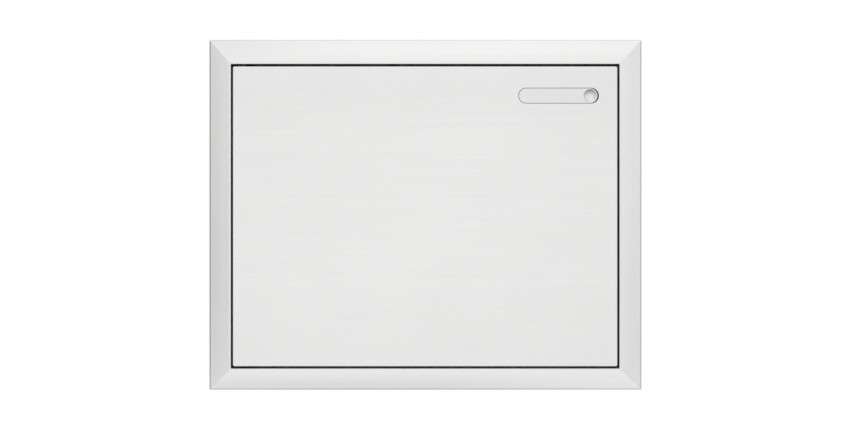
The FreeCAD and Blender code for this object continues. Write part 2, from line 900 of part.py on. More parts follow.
def door_seal():
    """Rubber seal round the back of the leaf, joined at its corners."""
    width = door_width - 2 * seal_inset
    height = door_height - 2 * seal_inset
    runs = [seal_run(width, height / 2, angle) for angle in (BOTTOM, TOP)]
    runs += [seal_run(height, width / 2, angle) for angle in (HINGE_SIDE, LATCH_SIDE)]
    return fuse(runs)


def strike_plate(z):
    """Steel plate on the leaf that one catch holds."""
    plate = upright_plate(catch_width, strike_length, strike_corner_radius, liner_back_y, strike_back_y)
    plate.translate(Vector(strip_x, 0, z))
    return plate.cut(Part.makeCompound([strike_rivet(height, press_allowance) for height in rivet_heights(z)]))


def rivet_heights(z):
    """Heights of the two rivets of the strike plate whose middle is at a height."""
    return (z - strike_rivet_spacing / 2, z + strike_rivet_spacing / 2)


def strike_rivet_holes():
    """Cutters for the strike rivets through the liner and the flange of the skin."""
    return [
        bore(
            strike_rivet_radius + press_allowance, Vector(strip_x, skin_back_y - skin_sheet, height), REAR,
            skin_sheet + liner_sheet,
        )
        for z in catch_heights()
        for height in rivet_heights(z)
    ]


def strike_rivet(z, grow):
    """Flat-headed rivet of a strike plate, its head level with the plate."""
    front = Vector(strip_x, strike_back_y, z)
    return countersunk_screw(
        strike_rivet_head_radius + grow, strike_rivet_head_depth,
        strike_rivet_radius + grow, strike_rivet_length, front, -REAR,
    )


def strike_plates():
    """Both strike plates."""
    return Part.makeCompound([strike_plate(z) for z in catch_heights()])


def strike_rivets():
    """The four rivets of the strike plates."""
    return Part.makeCompound([strike_rivet(height, 0) for z in catch_heights() for height in rivet_heights(z)])


def upper_pin_bracket():
    """Bent bracket in the leaf's upper hinge corner, whose two ears guide the sprung pin."""
    wall_x = skin_left_inner_x
    ear_x = wall_x + bracket_reach
    corners = [
        (ear_x, skin_top_inner_z),
        (wall_x, skin_top_inner_z),
        (wall_x, lower_ear_z),
        (ear_x, lower_ear_z),
    ]
    right_of_line = [(-u, v) for u, v in corners]
    face = bent_sheet(
        right_of_line, [bracket_bend_radius] * 2, bracket_sheet,
        lambda u, v: Vector(-u, bracket_front_y, v),
    )
    bracket = face.extrude(REAR * bracket_depth)
    return bracket.cut(bore(
        pin_radius + running_clearance, Vector(pivot_x, pivot_y, lower_ear_z), UP,
        skin_top_inner_z - lower_ear_z,
    ))


def lower_pivot_bracket():
    """Thick angle in the leaf's lower hinge corner that holds the lower bush."""
    wall_x = skin_left_inner_x
    floor_z = -skin_top_inner_z
    corners = [
        (wall_x, floor_z + lower_bracket_rise),
        (wall_x, floor_z),
        (wall_x + bracket_reach, floor_z),
    ]
    right_of_line = [(-u, v) for u, v in corners]
    face = bent_sheet(
        right_of_line, [bracket_bend_radius + bracket_sheet], lower_bracket_sheet,
        lambda u, v: Vector(-u, bracket_front_y, v),
    )
    bracket = face.extrude(REAR * bracket_depth)
    return bracket.cut(bore(
        bush_radius + press_allowance, Vector(pivot_x, pivot_y, floor_z), UP, lower_bracket_sheet
    ))


def lower_door_bush():
    """Flanged nylon bush in the leaf that turns on the lower pin."""
    flange = end_reveal - thrust_washer_thickness - thrust_gap
    start = Vector(pivot_x, pivot_y, -door_top - flange)
    length = flange + lower_bush_length
    body = fuse([
        cylinder(bush_flange_radius, start, UP, flange),
        cylinder(bush_radius, start, UP, length),
    ])
    return body.cut(bore(pin_radius + running_clearance, start, UP, length))


def upper_hinge_pin():
    """Sprung pin with a chamfered nose, a collar for the spring and a cross hole for the stem."""
    start = Vector(pivot_x, pivot_y, lower_ear_z - pin_tail)
    length = pin_tip_z - start.z
    shaft = cylinder(pin_radius, start, UP, length)
    nose = [e for e in shaft.Edges if e.BoundBox.ZMin > start.z + length / 2]
    shaft = shaft.makeChamfer(pin_nose_chamfer, nose)
    collar = cylinder(collar_radius, Vector(pivot_x, pivot_y, collar_z), UP, collar_thickness)
    hole = cylinder(
        stem_radius + press_allowance, Vector(pivot_x, pivot_y, stem_z), REAR, collar_radius + cut_past
    )
    return fuse([shaft, collar]).cut(hole)


def pin_thumb_knob():
    """Knob behind the liner, with the stem that is screwed into the hinge pin's collar."""
    stem_start = Vector(pivot_x, pivot_y, stem_z)
    knob_y = liner_back_y + knob_gap
    stem = cylinder(stem_radius, stem_start, REAR, knob_y - pivot_y)
    knob = cylinder(knob_radius, Vector(pivot_x, knob_y, stem_z), REAR, knob_length)
    knob = knob.makeChamfer(knob_chamfer, edges_at(knob, knob_y) + edges_at(knob, knob_y + knob_length))
    return fuse([stem, knob])


def arc_through(start, tangent, end):
    """Arc that leaves start along a tangent and reaches end."""
    chord = end - start
    along = Vector(chord).normalize()
    side = (tangent - along * tangent.dot(along)).normalize()
    half_angle = tangent.getAngle(chord) / 2
    middle = (start + end) / 2 + side * (chord.Length / 2 * math.tan(half_angle))
    return Part.Arc(start, middle, end).toShape()


def biarc(start, start_tangent, end, end_tangent):
    """Two arcs that meet smoothly and follow both end tangents."""
    chord = end - start
    both = start_tangent + end_tangent
    a = 2 * (1 - start_tangent.dot(end_tangent))
    b = 2 * chord.dot(both)
    c = -chord.dot(chord)
    reach = (math.sqrt(b * b - 4 * a * c) - b) / (2 * a)
    joint = (start + start_tangent * reach + end - end_tangent * reach) / 2
    joint_tangent = (end - end_tangent * reach - start - start_tangent * reach).normalize()
    return [arc_through(start, start_tangent, joint), arc_through(joint, joint_tangent, end)]


def helix_point(centre, radius, pitch, turn):
    """Point and unit tangent of a helix about the upright, after some turns from the front."""
    angle = 2 * math.pi * turn
    place = centre + Vector(radius * math.sin(angle), -radius * math.cos(angle), pitch * turn)
    run = Vector(radius * math.cos(angle), radius * math.sin(angle), pitch / (2 * math.pi))
    return place, run.normalize()


BIARCS_PER_TURN = 2


def helix_edges(centre, radius, pitch, first_turn, last_turn):
    """Biarcs of half a turn or less that follow a helix."""
    steps = math.ceil(BIARCS_PER_TURN * (last_turn - first_turn))
    turns = [first_turn + (last_turn - first_turn) * n / steps for n in range(steps + 1)]
    places = [helix_point(centre, radius, pitch, turn) for turn in turns]
    edges = []
    for (start, start_tangent), (end, end_tangent) in zip(places, places[1:]):
        edges += biarc(start, start_tangent, end, end_tangent)
    return edges


WIRE_SIDES = 8


def wire_form(path_edges, wire_radius):
    """Wire along a path. It has flat sides, which keep its many turns light."""
    path = Part.Wire(path_edges)
    start = path_edges[0].firstVertex().Point
    tangent = path_edges[0].tangentAt(path_edges[0].FirstParameter)
    across = tangent.cross(UP).normalize()
    upward = across.cross(tangent)
    turns = [2 * math.pi * side / WIRE_SIDES for side in range(WIRE_SIDES + 1)]
    corners = [start + (across * math.cos(turn) + upward * math.sin(turn)) * wire_radius for turn in turns]
    section = Part.makePolygon(corners)
    return Part.makeSolid(path.makePipeShell([section], True, False))


def least_own_gap(centre, radius, pitch, turns, wire):
    """Least gap between the turns of a wire, measured on points of its helix."""
    per_turn = 24
    points = [
        helix_point(centre, radius, pitch, n / per_turn)[0] for n in range(int(turns * per_turn) + 1)
    ]
    apart = per_turn // 2
    distances = [
        (a - b).Length for i, a in enumerate(points) for b in points[i + apart:]
    ]
    return min(distances) - wire


def hinge_pin_spring():
    """Compression spring between the bracket's lower ear and the pin's collar."""
    low = lower_ear_top_z + spring_wire / 2 + spring_end_gap
    high = collar_z - spring_wire / 2 - spring_end_gap
    pitch = (high - low) / spring_turns
    centre = Vector(pivot_x, pivot_y, low)
    print("hinge pin spring, least gap", round(
        least_own_gap(centre, spring_mean_radius, pitch, spring_turns, spring_wire), 2))
    return wire_form(helix_edges(centre, spring_mean_radius, pitch, 0, spring_turns), spring_wire / 2)


def handle_housing():
    """Drawn pocket behind the face, with a flange, pivot holes and a boss for the rest pad."""
    left = handle_x - pocket_length / 2
    right = handle_x + pocket_length / 2
    outer_wall = housing_wall
    flange_edge = housing_wall + housing_flange
    front = skin_front_inner_y
    flange = pill(
        left - flange_edge, right + flange_edge, pocket_radius + flange_edge, front, front + housing_wall
    )
    back = housing_floor_y + housing_wall
    cup = pill(left - outer_wall, right + outer_wall, housing_outer_radius, front, back)
    cup = cup.makeFillet(housing_floor_radius + housing_wall, edges_at(cup, back))
    hollow = pill(left, right, pocket_radius, front - cut_past, housing_floor_y)
    hollow = hollow.makeFillet(housing_floor_radius, edges_at(hollow, housing_floor_y))
    boss = cylinder(
        rest_boss_radius, Vector(rest_boss_x, lever_back_y + soft_clearance + rest_pad_thickness, handle_z),
        REAR, housing_floor_y - lever_back_y - soft_clearance - rest_pad_thickness + housing_wall / 2,
    )
    pin_holes = bore(
        lever_pin_radius + press_allowance,
        Vector(lever_pivot_x, lever_pivot_y, handle_z - housing_outer_radius), UP,
        2 * housing_outer_radius,
    )
    studs = [
        bore(stud_radius + guide_clearance, Vector(x, front, z), REAR, housing_wall)
        for x, z in stud_places()
    ]
    shell = fuse([flange, cup]).cut(Part.makeCompound([hollow, pin_holes] + studs))
    return fuse([shell, boss])


def stud_places():
    """Across and up places of the studs that hold the housing."""
    return [
        (handle_x + a * stud_spacing_x / 2, handle_z + b * stud_spacing_z / 2)
        for a in (-1, 1)
        for b in (-1, 1)
    ]


def handle_studs():
    """Studs welded to the back of the leaf's face."""
    return Part.makeCompound([
        cylinder(stud_radius, Vector(x, skin_front_inner_y, z), REAR, stud_length) for x, z in stud_places()
    ])


def handle_nuts():
    """Hexagon nuts on the studs."""
    y = skin_front_inner_y + housing_wall
    corner = nut_width / math.sqrt(3)
    nuts = []
    for x, z in stud_places():
        points = [
            Vector(x + corner * math.sin(math.radians(60 * n)), y, z + corner * math.cos(math.radians(60 * n)))
            for n in range(7)
        ]
        nut = Part.Face(Part.makePolygon(points)).extrude(REAR * nut_height)
        nuts.append(nut.cut(bore(stud_radius + press_allowance, Vector(x, y, z), REAR, nut_height)))
    return Part.makeCompound(nuts)


def lever_pivot_pin():
    """Pin through the housing and the lever's lugs, grooved for its clips."""
    half = housing_outer_radius + lever_pin_tail
    start = Vector(lever_pivot_x, lever_pivot_y, handle_z - half)
    pin = cylinder(lever_pin_radius, start, UP, 2 * half)
    grooves = []
    for low_z in clip_levels():
        ring = cylinder(lever_pin_radius + cut_past, Vector(start.x, start.y, low_z), UP, clip_thickness)
        core = cylinder(lever_pin_radius - clip_groove_depth, Vector(start.x, start.y, low_z), UP, clip_thickness)
        grooves.append(ring.cut(core))
    return pin.cut(Part.makeCompound(grooves))


def clip_levels():
    """Lower face of each clip on the lever's pivot pin."""
    return (handle_z - housing_outer_radius - clip_thickness, handle_z + housing_outer_radius)


def lever_pin_clips():
    """Open rings that keep the pivot pin in the housing."""
    clips = []
    for low_z in clip_levels():
        start = Vector(lever_pivot_x, lever_pivot_y, low_z)
        ring = cylinder(clip_radius, start, UP, clip_thickness)
        bore = cylinder(lever_pin_radius - clip_groove_depth + press_allowance, start, UP, clip_thickness)
        mouth = block(
            clip_mouth, clip_radius + cut_past, clip_thickness,
            lever_pivot_x, lever_pivot_y, low_z + clip_thickness / 2,
        )
        clips.append(ring.cut(Part.makeCompound([bore, mouth])))
    return Part.makeCompound(clips)


def lever_spring():
    """Torsion spring round the pivot pin: one leg behind the lever's push end, one on the pocket floor."""
    first_turn = lower_leg_turn()
    last_turn = lever_spring_turns
    low_z = handle_z - lever_spring_pitch * (first_turn + last_turn) / 2
    centre = Vector(lever_pivot_x, lever_pivot_y, low_z)
    print("lever spring, least gap", round(
        least_own_gap(
            centre, lever_spring_mean_radius, lever_spring_pitch, lever_spring_turns, lever_spring_wire
        ), 2))
    start, start_tangent = helix_point(centre, lever_spring_mean_radius, lever_spring_pitch, first_turn)
    end, end_tangent = helix_point(centre, lever_spring_mean_radius, lever_spring_pitch, last_turn)
    coil = helix_edges(centre, lever_spring_mean_radius, lever_spring_pitch, first_turn, last_turn)
    lower_leg = Part.LineSegment(start - start_tangent * lever_spring_lower_leg, start).toShape()
    upper_leg = Part.LineSegment(end, end + end_tangent * lever_spring_upper_leg).toShape()
    return wire_form([lower_leg] + coil + [upper_leg], lever_spring_wire / 2)


def lower_leg_turn():
    """Turn of the helix that the lower leg leaves, so that its tip lies on the pocket floor."""
    drop = housing_floor_y - lever_pivot_y - lever_spring_wire / 2 - lever_spring_seat_gap
    tip_reach = math.hypot(lever_spring_mean_radius, lever_spring_lower_leg)
    lean = math.atan2(lever_spring_mean_radius, lever_spring_lower_leg)
    leg_angle = math.asin(drop / tip_reach) - lean
    return 0.5 + leg_angle / (2 * math.pi)


def lever_rest_pad():
    """Rubber pad that the tail of the lever rests on."""
    start = Vector(rest_boss_x, lever_back_y + soft_clearance, handle_z)
    return cylinder(rest_boss_radius, start, REAR, rest_pad_thickness)


def handle_lever():
    """Flush lever with a thumb dimple at its push end and two lugs for the pivot pin."""
    bar = pill(lever_left_x, lever_right_x, lever_radius, face_y, lever_back_y)
    bar = bar.makeFillet(lever_edge_radius, edges_at(bar, face_y))
    sphere_radius = (dimple_radius ** 2 + dimple_depth ** 2) / (2 * dimple_depth)
    dimple_x = lever_right_x - lever_radius
    dimple = Part.makeSphere(sphere_radius, Vector(dimple_x, face_y + dimple_depth - sphere_radius, handle_z))
    bar = bar.cut(dimple)
    rim = [e for e in edges_at(bar, face_y) if abs(e.BoundBox.XLength - 2 * dimple_radius) < 0.1]
    bar = bar.makeFillet(dimple_edge_radius, rim)
    lugs = []
    for low_z in lug_levels():
        eye = cylinder(lug_radius, Vector(lever_pivot_x, lever_pivot_y, low_z), UP, lug_thickness)
        web = block(
            2 * lug_radius, lever_pivot_y - lever_back_y + lug_root, lug_thickness,
            lever_pivot_x, lever_back_y - lug_root, low_z + lug_thickness / 2,
        )
        lugs += [eye.common(behind_lever_face()), web]
    bore = cylinder(
        lever_pin_radius + lever_pin_hole_gap + lever_bush_wall,
        Vector(lever_pivot_x, lever_pivot_y, handle_z - pocket_radius), UP, pocket_width,
    )
    return fuse([bar] + lugs).cut(bore)


def behind_lever_face():
    """Block that keeps the round of a lug out of the lever's front skin."""
    return block(
        4 * lug_radius, 4 * lug_radius, pocket_width, lever_pivot_x, lever_back_y - lug_root, handle_z
    )


def lug_levels():
    """Lower face of each lug."""
    return (handle_z - lug_inner_half_gap - lug_thickness, handle_z + lug_inner_half_gap)


def lever_bushes():
    """Plain bushes in the lugs."""
    bushes = []
    for low_z in lug_levels():
        start = Vector(lever_pivot_x, lever_pivot_y, low_z)
        outer = cylinder(
            lever_pin_radius + lever_pin_hole_gap + lever_bush_wall - press_allowance, start, UP, lug_thickness
        )
        bushes.append(outer.cut(cylinder(lever_pin_radius + running_clearance, start, UP, lug_thickness)))
    return Part.makeCompound(bushes)


NODES = [
    top_rail, bottom_rail, hinge_stile, latch_stile, corner_cleats,
    top_stop, bottom_stop, hinge_stop, latch_stop,
    upper_hinge_plate, upper_hinge_bush, lower_hinge_plate, lower_hinge_pin, lower_thrust_washer,
    catch_cases, catch_magnets, catch_poles, catch_screws, door_bumpers,
    door_skin, door_liner, hinge_side_stiffener, latch_side_stiffener, liner_screws, door_seal,
    upper_pin_bracket, lower_pivot_bracket, lower_door_bush, hinge_pin_spring,
    strike_plates, strike_rivets,
    handle_housing, handle_studs, handle_nuts, lever_pivot_pin, lever_pin_clips, lever_spring, lever_rest_pad,
    handle_lever, lever_bushes,
    upper_hinge_pin, pin_thumb_knob,
]

os.makedirs("parts", exist_ok=True)
for node in NODES:
    shape = node()
    shape.exportStep("parts/" + node.__name__ + ".step")
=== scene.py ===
"""Looks of a flush access door in satin stainless steel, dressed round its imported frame.

Lengths are in metres. X runs to the right, Y from the front to the rear and Z up, from the centre of the
opening on the island's face.
"""

import logging
import math
from dataclasses import dataclass, replace
from enum import Enum
from functools import partial, reduce
from typing import Callable, Iterable, Sequence

import bmesh
import bpy
from mathutils import Matrix, Vector


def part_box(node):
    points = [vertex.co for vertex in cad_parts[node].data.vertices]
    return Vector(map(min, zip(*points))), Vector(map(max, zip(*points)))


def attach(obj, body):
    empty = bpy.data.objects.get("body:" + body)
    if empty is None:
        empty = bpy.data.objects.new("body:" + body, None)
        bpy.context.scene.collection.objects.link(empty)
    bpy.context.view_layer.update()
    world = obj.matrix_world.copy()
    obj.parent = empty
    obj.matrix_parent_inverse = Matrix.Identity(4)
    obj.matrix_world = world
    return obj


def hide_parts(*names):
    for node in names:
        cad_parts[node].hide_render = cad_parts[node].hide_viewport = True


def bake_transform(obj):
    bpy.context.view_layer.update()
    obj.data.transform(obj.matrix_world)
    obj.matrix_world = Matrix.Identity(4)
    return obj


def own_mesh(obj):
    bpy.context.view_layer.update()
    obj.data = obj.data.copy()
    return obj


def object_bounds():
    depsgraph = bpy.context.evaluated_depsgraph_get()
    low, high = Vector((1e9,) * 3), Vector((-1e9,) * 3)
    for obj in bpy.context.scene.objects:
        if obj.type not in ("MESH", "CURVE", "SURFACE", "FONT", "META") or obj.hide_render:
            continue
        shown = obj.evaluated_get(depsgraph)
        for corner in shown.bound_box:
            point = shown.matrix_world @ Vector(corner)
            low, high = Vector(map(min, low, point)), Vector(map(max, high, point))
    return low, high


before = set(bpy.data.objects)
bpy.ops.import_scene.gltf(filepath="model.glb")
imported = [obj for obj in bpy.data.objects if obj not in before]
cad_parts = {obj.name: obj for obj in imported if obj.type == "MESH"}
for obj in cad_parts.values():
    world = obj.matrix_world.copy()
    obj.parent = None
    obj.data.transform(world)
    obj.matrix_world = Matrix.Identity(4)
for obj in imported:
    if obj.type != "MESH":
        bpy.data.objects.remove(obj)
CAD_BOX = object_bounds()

Socket = bpy.types.NodeSocket
Corner = bmesh.types.BMVert
Edge = bmesh.types.BMEdge
Colour = tuple[float, float, float]
Outline = Callable[[float], float]
Profile = tuple[tuple[float, float], ...]

MM = 0.001
PHOTO_WIDTH_PX = 853
SENSOR_WIDTH = 36.0
MERGE_DISTANCE = 1e-6
SMOOTH_ANGLE = math.radians(38)
HALF_TURN = 0.5
QUARTER_TURN = 0.25
COMMON_NOISE = (0.3, 0.7)
WHITE = (1.0, 1.0, 1.0)
STOP_SHEET = 1.5 * MM
STRIKE_LENGTH = 66.0 * MM

LOG = logging.getLogger("access_door")


class Grain(Enum):
    """Direction that a sheet was brushed in."""

    ACROSS = (1.0, 0.0, 0.0)
    UPRIGHT = (0.0, 0.0, 1.0)


class Hand(Enum):
    """Side of the door, as the sign of X."""

    HINGE = -1
    LATCH = 1


class End(Enum):
    """Lower or upper end, as the sign of Z."""

    LOWER = -1
    UPPER = 1


def places(node: str) -> tuple[Vector, Vector]:
    """Lowest and highest corner of a frame node as vectors."""
    low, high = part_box(node)
    return Vector(low), Vector(high)


def middle(node: str) -> Vector:
    """Centre of a frame node's box."""
    return sum(places(node), Vector()) / 2


def corners(x: float, z: float) -> list[Vector]:
    """Corners of an upright rectangle round the origin, from half its width and half its height."""
    return [Vector((hand.value * x, 0, end.value * z)) for hand in Hand for end in End]


class NodeGraph:
    """Short calls for building a shader's node tree."""

    def __init__(self, tree: bpy.types.NodeTree) -> None:
        """Starts from an empty tree."""
        self.tree = tree
        tree.nodes.clear()

    def add(self, kind: str, **settings: object) -> bpy.types.Node:
        """Adds a node.

        Args:
            kind: Class name of the node, without its ShaderNode prefix.
            **settings: Values for the node's own properties.

        Returns:
            The new node.
        """
        node = self.tree.nodes.new("ShaderNode" + kind)
        for key, value in settings.items():
            setattr(node, key, value)
        return node

    def link(self, source: Socket, target: Socket) -> None:
        """Joins two sockets."""
        self.tree.links.new(source, target)

    def feed(self, term: Socket | float | Colour, target: Socket) -> None:
        """Gives an input its value.

        Args:
            term: Socket to join it to, or a number or a colour to set it to.
            target: Socket of the input.
        """
        if isinstance(term, Socket):
            self.link(term, target)
        else:
            target.default_value = (*term, 1.0) if isinstance(term, tuple) else term

    def parts(self, space: str = "Object") -> Sequence[Socket]:
        """X, Y and Z of a point.

        Args:
            space: Name of the texture coordinate that gives the point.

        Returns:
            The three sockets.
        """
        split = self.add("SeparateXYZ")
        self.link(self.add("TexCoord").outputs[space], split.inputs["Vector"])
        return split.outputs

    def mapped(self, scale: Sequence[float], shift: Sequence[float] = (0.0, 0.0, 0.0)) -> Socket:
        """Point on the object's coordinates, scaled and then shifted.

        Args:
            scale: Factor along X, Y and Z.
            shift: Shift along X, Y and Z.

        Returns:
            The new point's socket.
        """
        mapping = self.add("Mapping")
        mapping.inputs["Scale"].default_value = tuple(scale)
        mapping.inputs["Location"].default_value = tuple(shift)
        self.link(self.add("TexCoord").outputs["Object"], mapping.inputs["Vector"])
        return mapping.outputs["Vector"]

    def noise(self, scale: Sequence[float], octaves: float, finer: float) -> Socket:
        """Noise on the object's coordinates, with its own scale along each axis.

        Args:
            scale: Cycles per metre along X, Y and Z.
            octaves: Number of ever finer patterns in it.
            finer: Weight of each pattern against the one before.

        Returns:
            The noise value's socket, about 0.5 on average.
        """
        noise = self.add("TexNoise")
        noise.inputs["Scale"].default_value = 1.0
        noise.inputs["Detail"].default_value = octaves
        noise.inputs["Roughness"].default_value = finer
        self.link(self.mapped(scale), noise.inputs["Vector"])
        return noise.outputs["Fac"]

    def away_from(self, centre: Sequence[float], scale: Sequence[float]) -> Socket:
        """Distance from a point on the object's coordinates.

        Args:
            centre: The point.
            scale: Weight of each axis, zero for one that doesn't count.

        Returns:
            The distance's socket.
        """
        shift = [-place * factor for place, factor in zip(centre, scale)]
        away = self.add("VectorMath", operation="LENGTH")
        self.link(self.mapped(scale, shift), away.inputs[0])
        return away.outputs["Value"]

    def step(
        self,
        value: Socket,
        source: tuple[float, float],
        result: tuple[float, float] = (0.0, 1.0),
        smooth: bool = True,
    ) -> Socket:
        """Goes from one number to another while a value goes from its start to its end.

        Args:
            value: Socket of the value.
            source: The value's start and end, of which either may be the lower.
            result: The two numbers.
            smooth: True to ease it in and out.

        Returns:
            The result's socket.
        """
        made = self.add("MapRange", interpolation_type="SMOOTHSTEP" if smooth else "LINEAR")
        for name, number in zip(("From Min", "From Max", "To Min", "To Max"), (*source, *result)):
            made.inputs[name].default_value = number
        self.link(value, made.inputs["Value"])
        return made.outputs["Result"]

    def spread(self, noise: Socket, low: float, high: float) -> Socket:
        """Spreads the range that most noise values lie in over another range."""
        return self.step(noise, COMMON_NOISE, (low, high), smooth=False)

    def maths(self, operation: str, *terms: Socket | float) -> Socket:
        """Result of one operation.

        Args:
            operation: Name of the operation.
            *terms: Sockets and numbers that it works on.

        Returns:
            The result's socket.
        """
        node = self.add("Math", operation=operation)
        for term, target in zip(terms, node.inputs):
            self.feed(term, target)
        return node.outputs["Value"]

    def product(self, *terms: Socket | float) -> Socket:
        """Product of sockets and numbers."""
        return reduce(partial(self.maths, "MULTIPLY"), terms)

    def total(self, *terms: Socket | float) -> Socket:
        """Sum of sockets and numbers."""
        return reduce(partial(self.maths, "ADD"), terms)

    def mixed(self, share: Socket, first: Socket | Colour, second: Colour) -> Socket:
        """Blend of two colours by a varying share.

        Args:
            share: Socket of the second colour's share.
            first: First colour, linear, or the socket of a varying one.
            second: Second colour, linear.

        Returns:
            The colour's socket.
        """
        mix = self.add("Mix", data_type="RGBA")
        self.link(share, mix.inputs["Factor"])
        colours = (socket for socket in mix.inputs if socket.type == "RGBA")
        for term, target in zip((first, second), colours):
            self.feed(term, target)
        return next(socket for socket in mix.outputs if socket.type == "RGBA")

    def blended(self, share: Socket, first: Socket, second: Socket) -> Socket:
        """Blend of two shaders by a varying share.

        Args:
            share: Socket of the second shader's share.
            first: Socket of the first shader.
            second: Socket of the second shader.

        Returns:
            The blend's socket.
        """
        both = self.add("MixShader")
        for source, target in zip((share, first, second), both.inputs):
            self.link(source, target)
        return both.outputs["Shader"]


@dataclass(frozen=True, kw_only=True)
class PaintedShade:
    """Painted shade: part of a sheet whose colour is painted darker than its polished face, to stand in for
    shade.
    """

    tone: float = 0.5

    def share(self, graph: NodeGraph) -> Socket:
        """One where the shade is painted and zero elsewhere; each shade has its own way."""
        raise NotImplementedError


@dataclass(frozen=True, kw_only=True)
class Returns(PaintedShade):
    """Painted shade where a sheet turns back from its face, counted from its middle along each axis."""

    axes: tuple[int, ...]
    start: tuple[float, ...]
    end: tuple[float, ...]

    def share(self, graph: NodeGraph) -> Socket:
        """Share of the painted shade on the return.

        Args:
            graph: The material's tree.

        Returns:
            Socket of the share.
        """
        parts = graph.parts()
        return graph.product(*(
            graph.step(graph.maths("ABSOLUTE", parts[axis]), (start, end))
            for axis, start, end in zip(self.axes, self.start, self.end)
        ))


@dataclass(frozen=True, kw_only=True)
class PaintedFade(PaintedShade):
    """Painted shade that slowly darkens a sheet towards one side."""

    axis: int
    start: float
    end: float
    depth: float

    def share(self, graph: NodeGraph) -> Socket:
        """Share of the painted shade on the darker side, up to the fade's depth."""
        return graph.step(graph.parts()[self.axis], (self.start, self.end), (0.0, self.depth))


@dataclass(frozen=True, kw_only=True)
class PaintedDishShade(PaintedShade):
    """Painted shade on a round dish in a sheet: its upper wall, which faces the ground, is painted darker.
    """

    centre: tuple[float, float, float]
    rim: tuple[float, float]
    light_centre: tuple[float, float, float]
    light_reach: tuple[float, float]
    width_share: float = 0.6

    def share(self, graph: NodeGraph) -> Socket:
        """Share of the painted shade on the upper wall.

        Args:
            graph: The material's tree.

        Returns:
            Socket of the share.
        """
        inside = graph.step(graph.away_from(self.centre, (1.0, 0.0, 1.0)), self.rim)
        away = graph.away_from(self.light_centre, (self.width_share, 0.0, 1.0))
        return graph.product(inside, graph.step(away, self.light_reach, smooth=False))


@dataclass(frozen=True)
class Layer:
    """One noise of a finish, with its cycles per metre and its weight in the tone."""

    along: float
    across: float
    octaves: float
    weight: float
    finer: float = 0.6


def brushed(along: float, across: float) -> tuple[Layer, ...]:
    """Fine marks along the grain, over broad bands along it and a slow cloudiness.

    Args:
        along: Marks for each metre along the grain.
        across: Marks for each metre across it.

    Returns:
        The three layers.
    """
    marks = Layer(along, across, octaves=4.0, weight=0.6, finer=0.7)
    bands = Layer(along=1.2, across=95.0, octaves=2.0, weight=0.15)
    clouds = Layer(along=5.0, across=5.0, octaves=2.0, weight=0.25)
    return marks, bands, clouds


def mottled(scale: float, broader: float = 7.0) -> tuple[Layer, ...]:
    """Fine mottle over a broad one, with as many spots for each metre both ways."""
    broad = scale / broader
    return Layer(scale, scale, octaves=4.0, weight=0.6), Layer(broad, broad, octaves=2.0, weight=0.4)


def pebbled(scale: float, broader: float = 20.0) -> tuple[Layer, ...]:
    """Fine pebbles over broad blotches, with as many for each metre both ways."""
    broad = scale / broader
    return Layer(scale, scale, octaves=2.0, weight=0.5), Layer(broad, broad, octaves=3.0, weight=0.5)


def tinted(colour: Sequence[float], factor: float) -> tuple[float, ...]:
    """A colour made lighter or darker by a factor."""
    return tuple(min(channel * factor, 1.0) for channel in colour)


@dataclass(frozen=True)
class Finish:
    """What every finish holds: a tone that varies by layers of noise, and a fine relief.

    The slot is the record's material that it stands for. The first layer makes the relief too.
    """

    name: str
    slot: str
    tone: Colour
    tone_shift: Colour = (1.0, 1.0, 1.0)
    contrast: float = 0.06
    shades: tuple[PaintedShade, ...] = ()
    grain: Grain = Grain.ACROSS
    layers: tuple[Layer, ...] = mottled(160.0)
    roughness: float = 0.4
    roughness_spread: tuple[float, float] = (0.85, 1.2)
    roughness_layer: int = 1
    relief_depth: float = 0.01 * MM
    relief_strength: float = 0.3

    def material(self) -> bpy.types.Material:
        """The finish's material, made once.

        Returns:
            The material.
        """
        made = bpy.data.materials.get(self.name)
        if made:
            return made
        made = bpy.data.materials.new(self.name)
        made.use_nodes = True
        graph = NodeGraph(made.node_tree)
        shader = graph.add("BsdfPrincipled")
        graph.link(shader.outputs["BSDF"], graph.add("OutputMaterial").inputs["Surface"])
        noises = [graph.noise(self.scale(layer), layer.octaves, layer.finer) for layer in self.layers]
        graph.link(self.colour(graph, noises), shader.inputs["Base Color"])
        low, high = (self.roughness * factor for factor in self.roughness_spread)
        graph.link(graph.spread(noises[self.roughness_layer], low, high), shader.inputs["Roughness"])
        graph.link(self.relief(graph, noises[0]), shader.inputs["Normal"])
        self.dress(graph, shader)
        return made

    def scale(self, layer: Layer) -> list[float]:
        """Cycles per metre of a layer along X, Y and Z."""
        return [layer.along if part else layer.across for part in self.grain.value]

    def colour(self, graph: NodeGraph, noises: Sequence[Socket]) -> Socket:
        """The varied tone, under its painted shades.

        Args:
            graph: The material's tree.
            noises: Socket of each layer's noise.

        Returns:
            The colour's socket.
        """
        weighted = (graph.product(noise, layer.weight) for noise, layer in zip(noises, self.layers))
        shifted = [tone * shift for tone, shift in zip(self.tone, self.tone_shift)]
        colour = graph.mixed(
            graph.spread(graph.total(*weighted), 0.0, 1.0),
            tinted(self.tone, 1 - self.contrast),
            tinted(shifted, 1 + self.contrast),
        )
        # Painted shade: each shade mixes the colour towards its own dark tone by its share.
        for shade in self.shades:
            colour = graph.mixed(shade.share(graph), colour, (shade.tone,) * 3)
        return colour

    def relief(self, graph: NodeGraph, noise: Socket) -> Socket:
        """Relief from a noise.

        Args:
            graph: The material's tree.
            noise: Socket of the noise.

        Returns:
            Socket of the surface's direction.
        """
        bump = graph.add("Bump")
        bump.inputs["Strength"].default_value = self.relief_strength
        bump.inputs["Distance"].default_value = self.relief_depth
        graph.link(noise, bump.inputs["Height"])
        return bump.outputs["Normal"]

    def dress(self, graph: NodeGraph, shader: bpy.types.Node) -> None:
        """Sets the shader's other sockets; each finish has its own way."""
        raise NotImplementedError


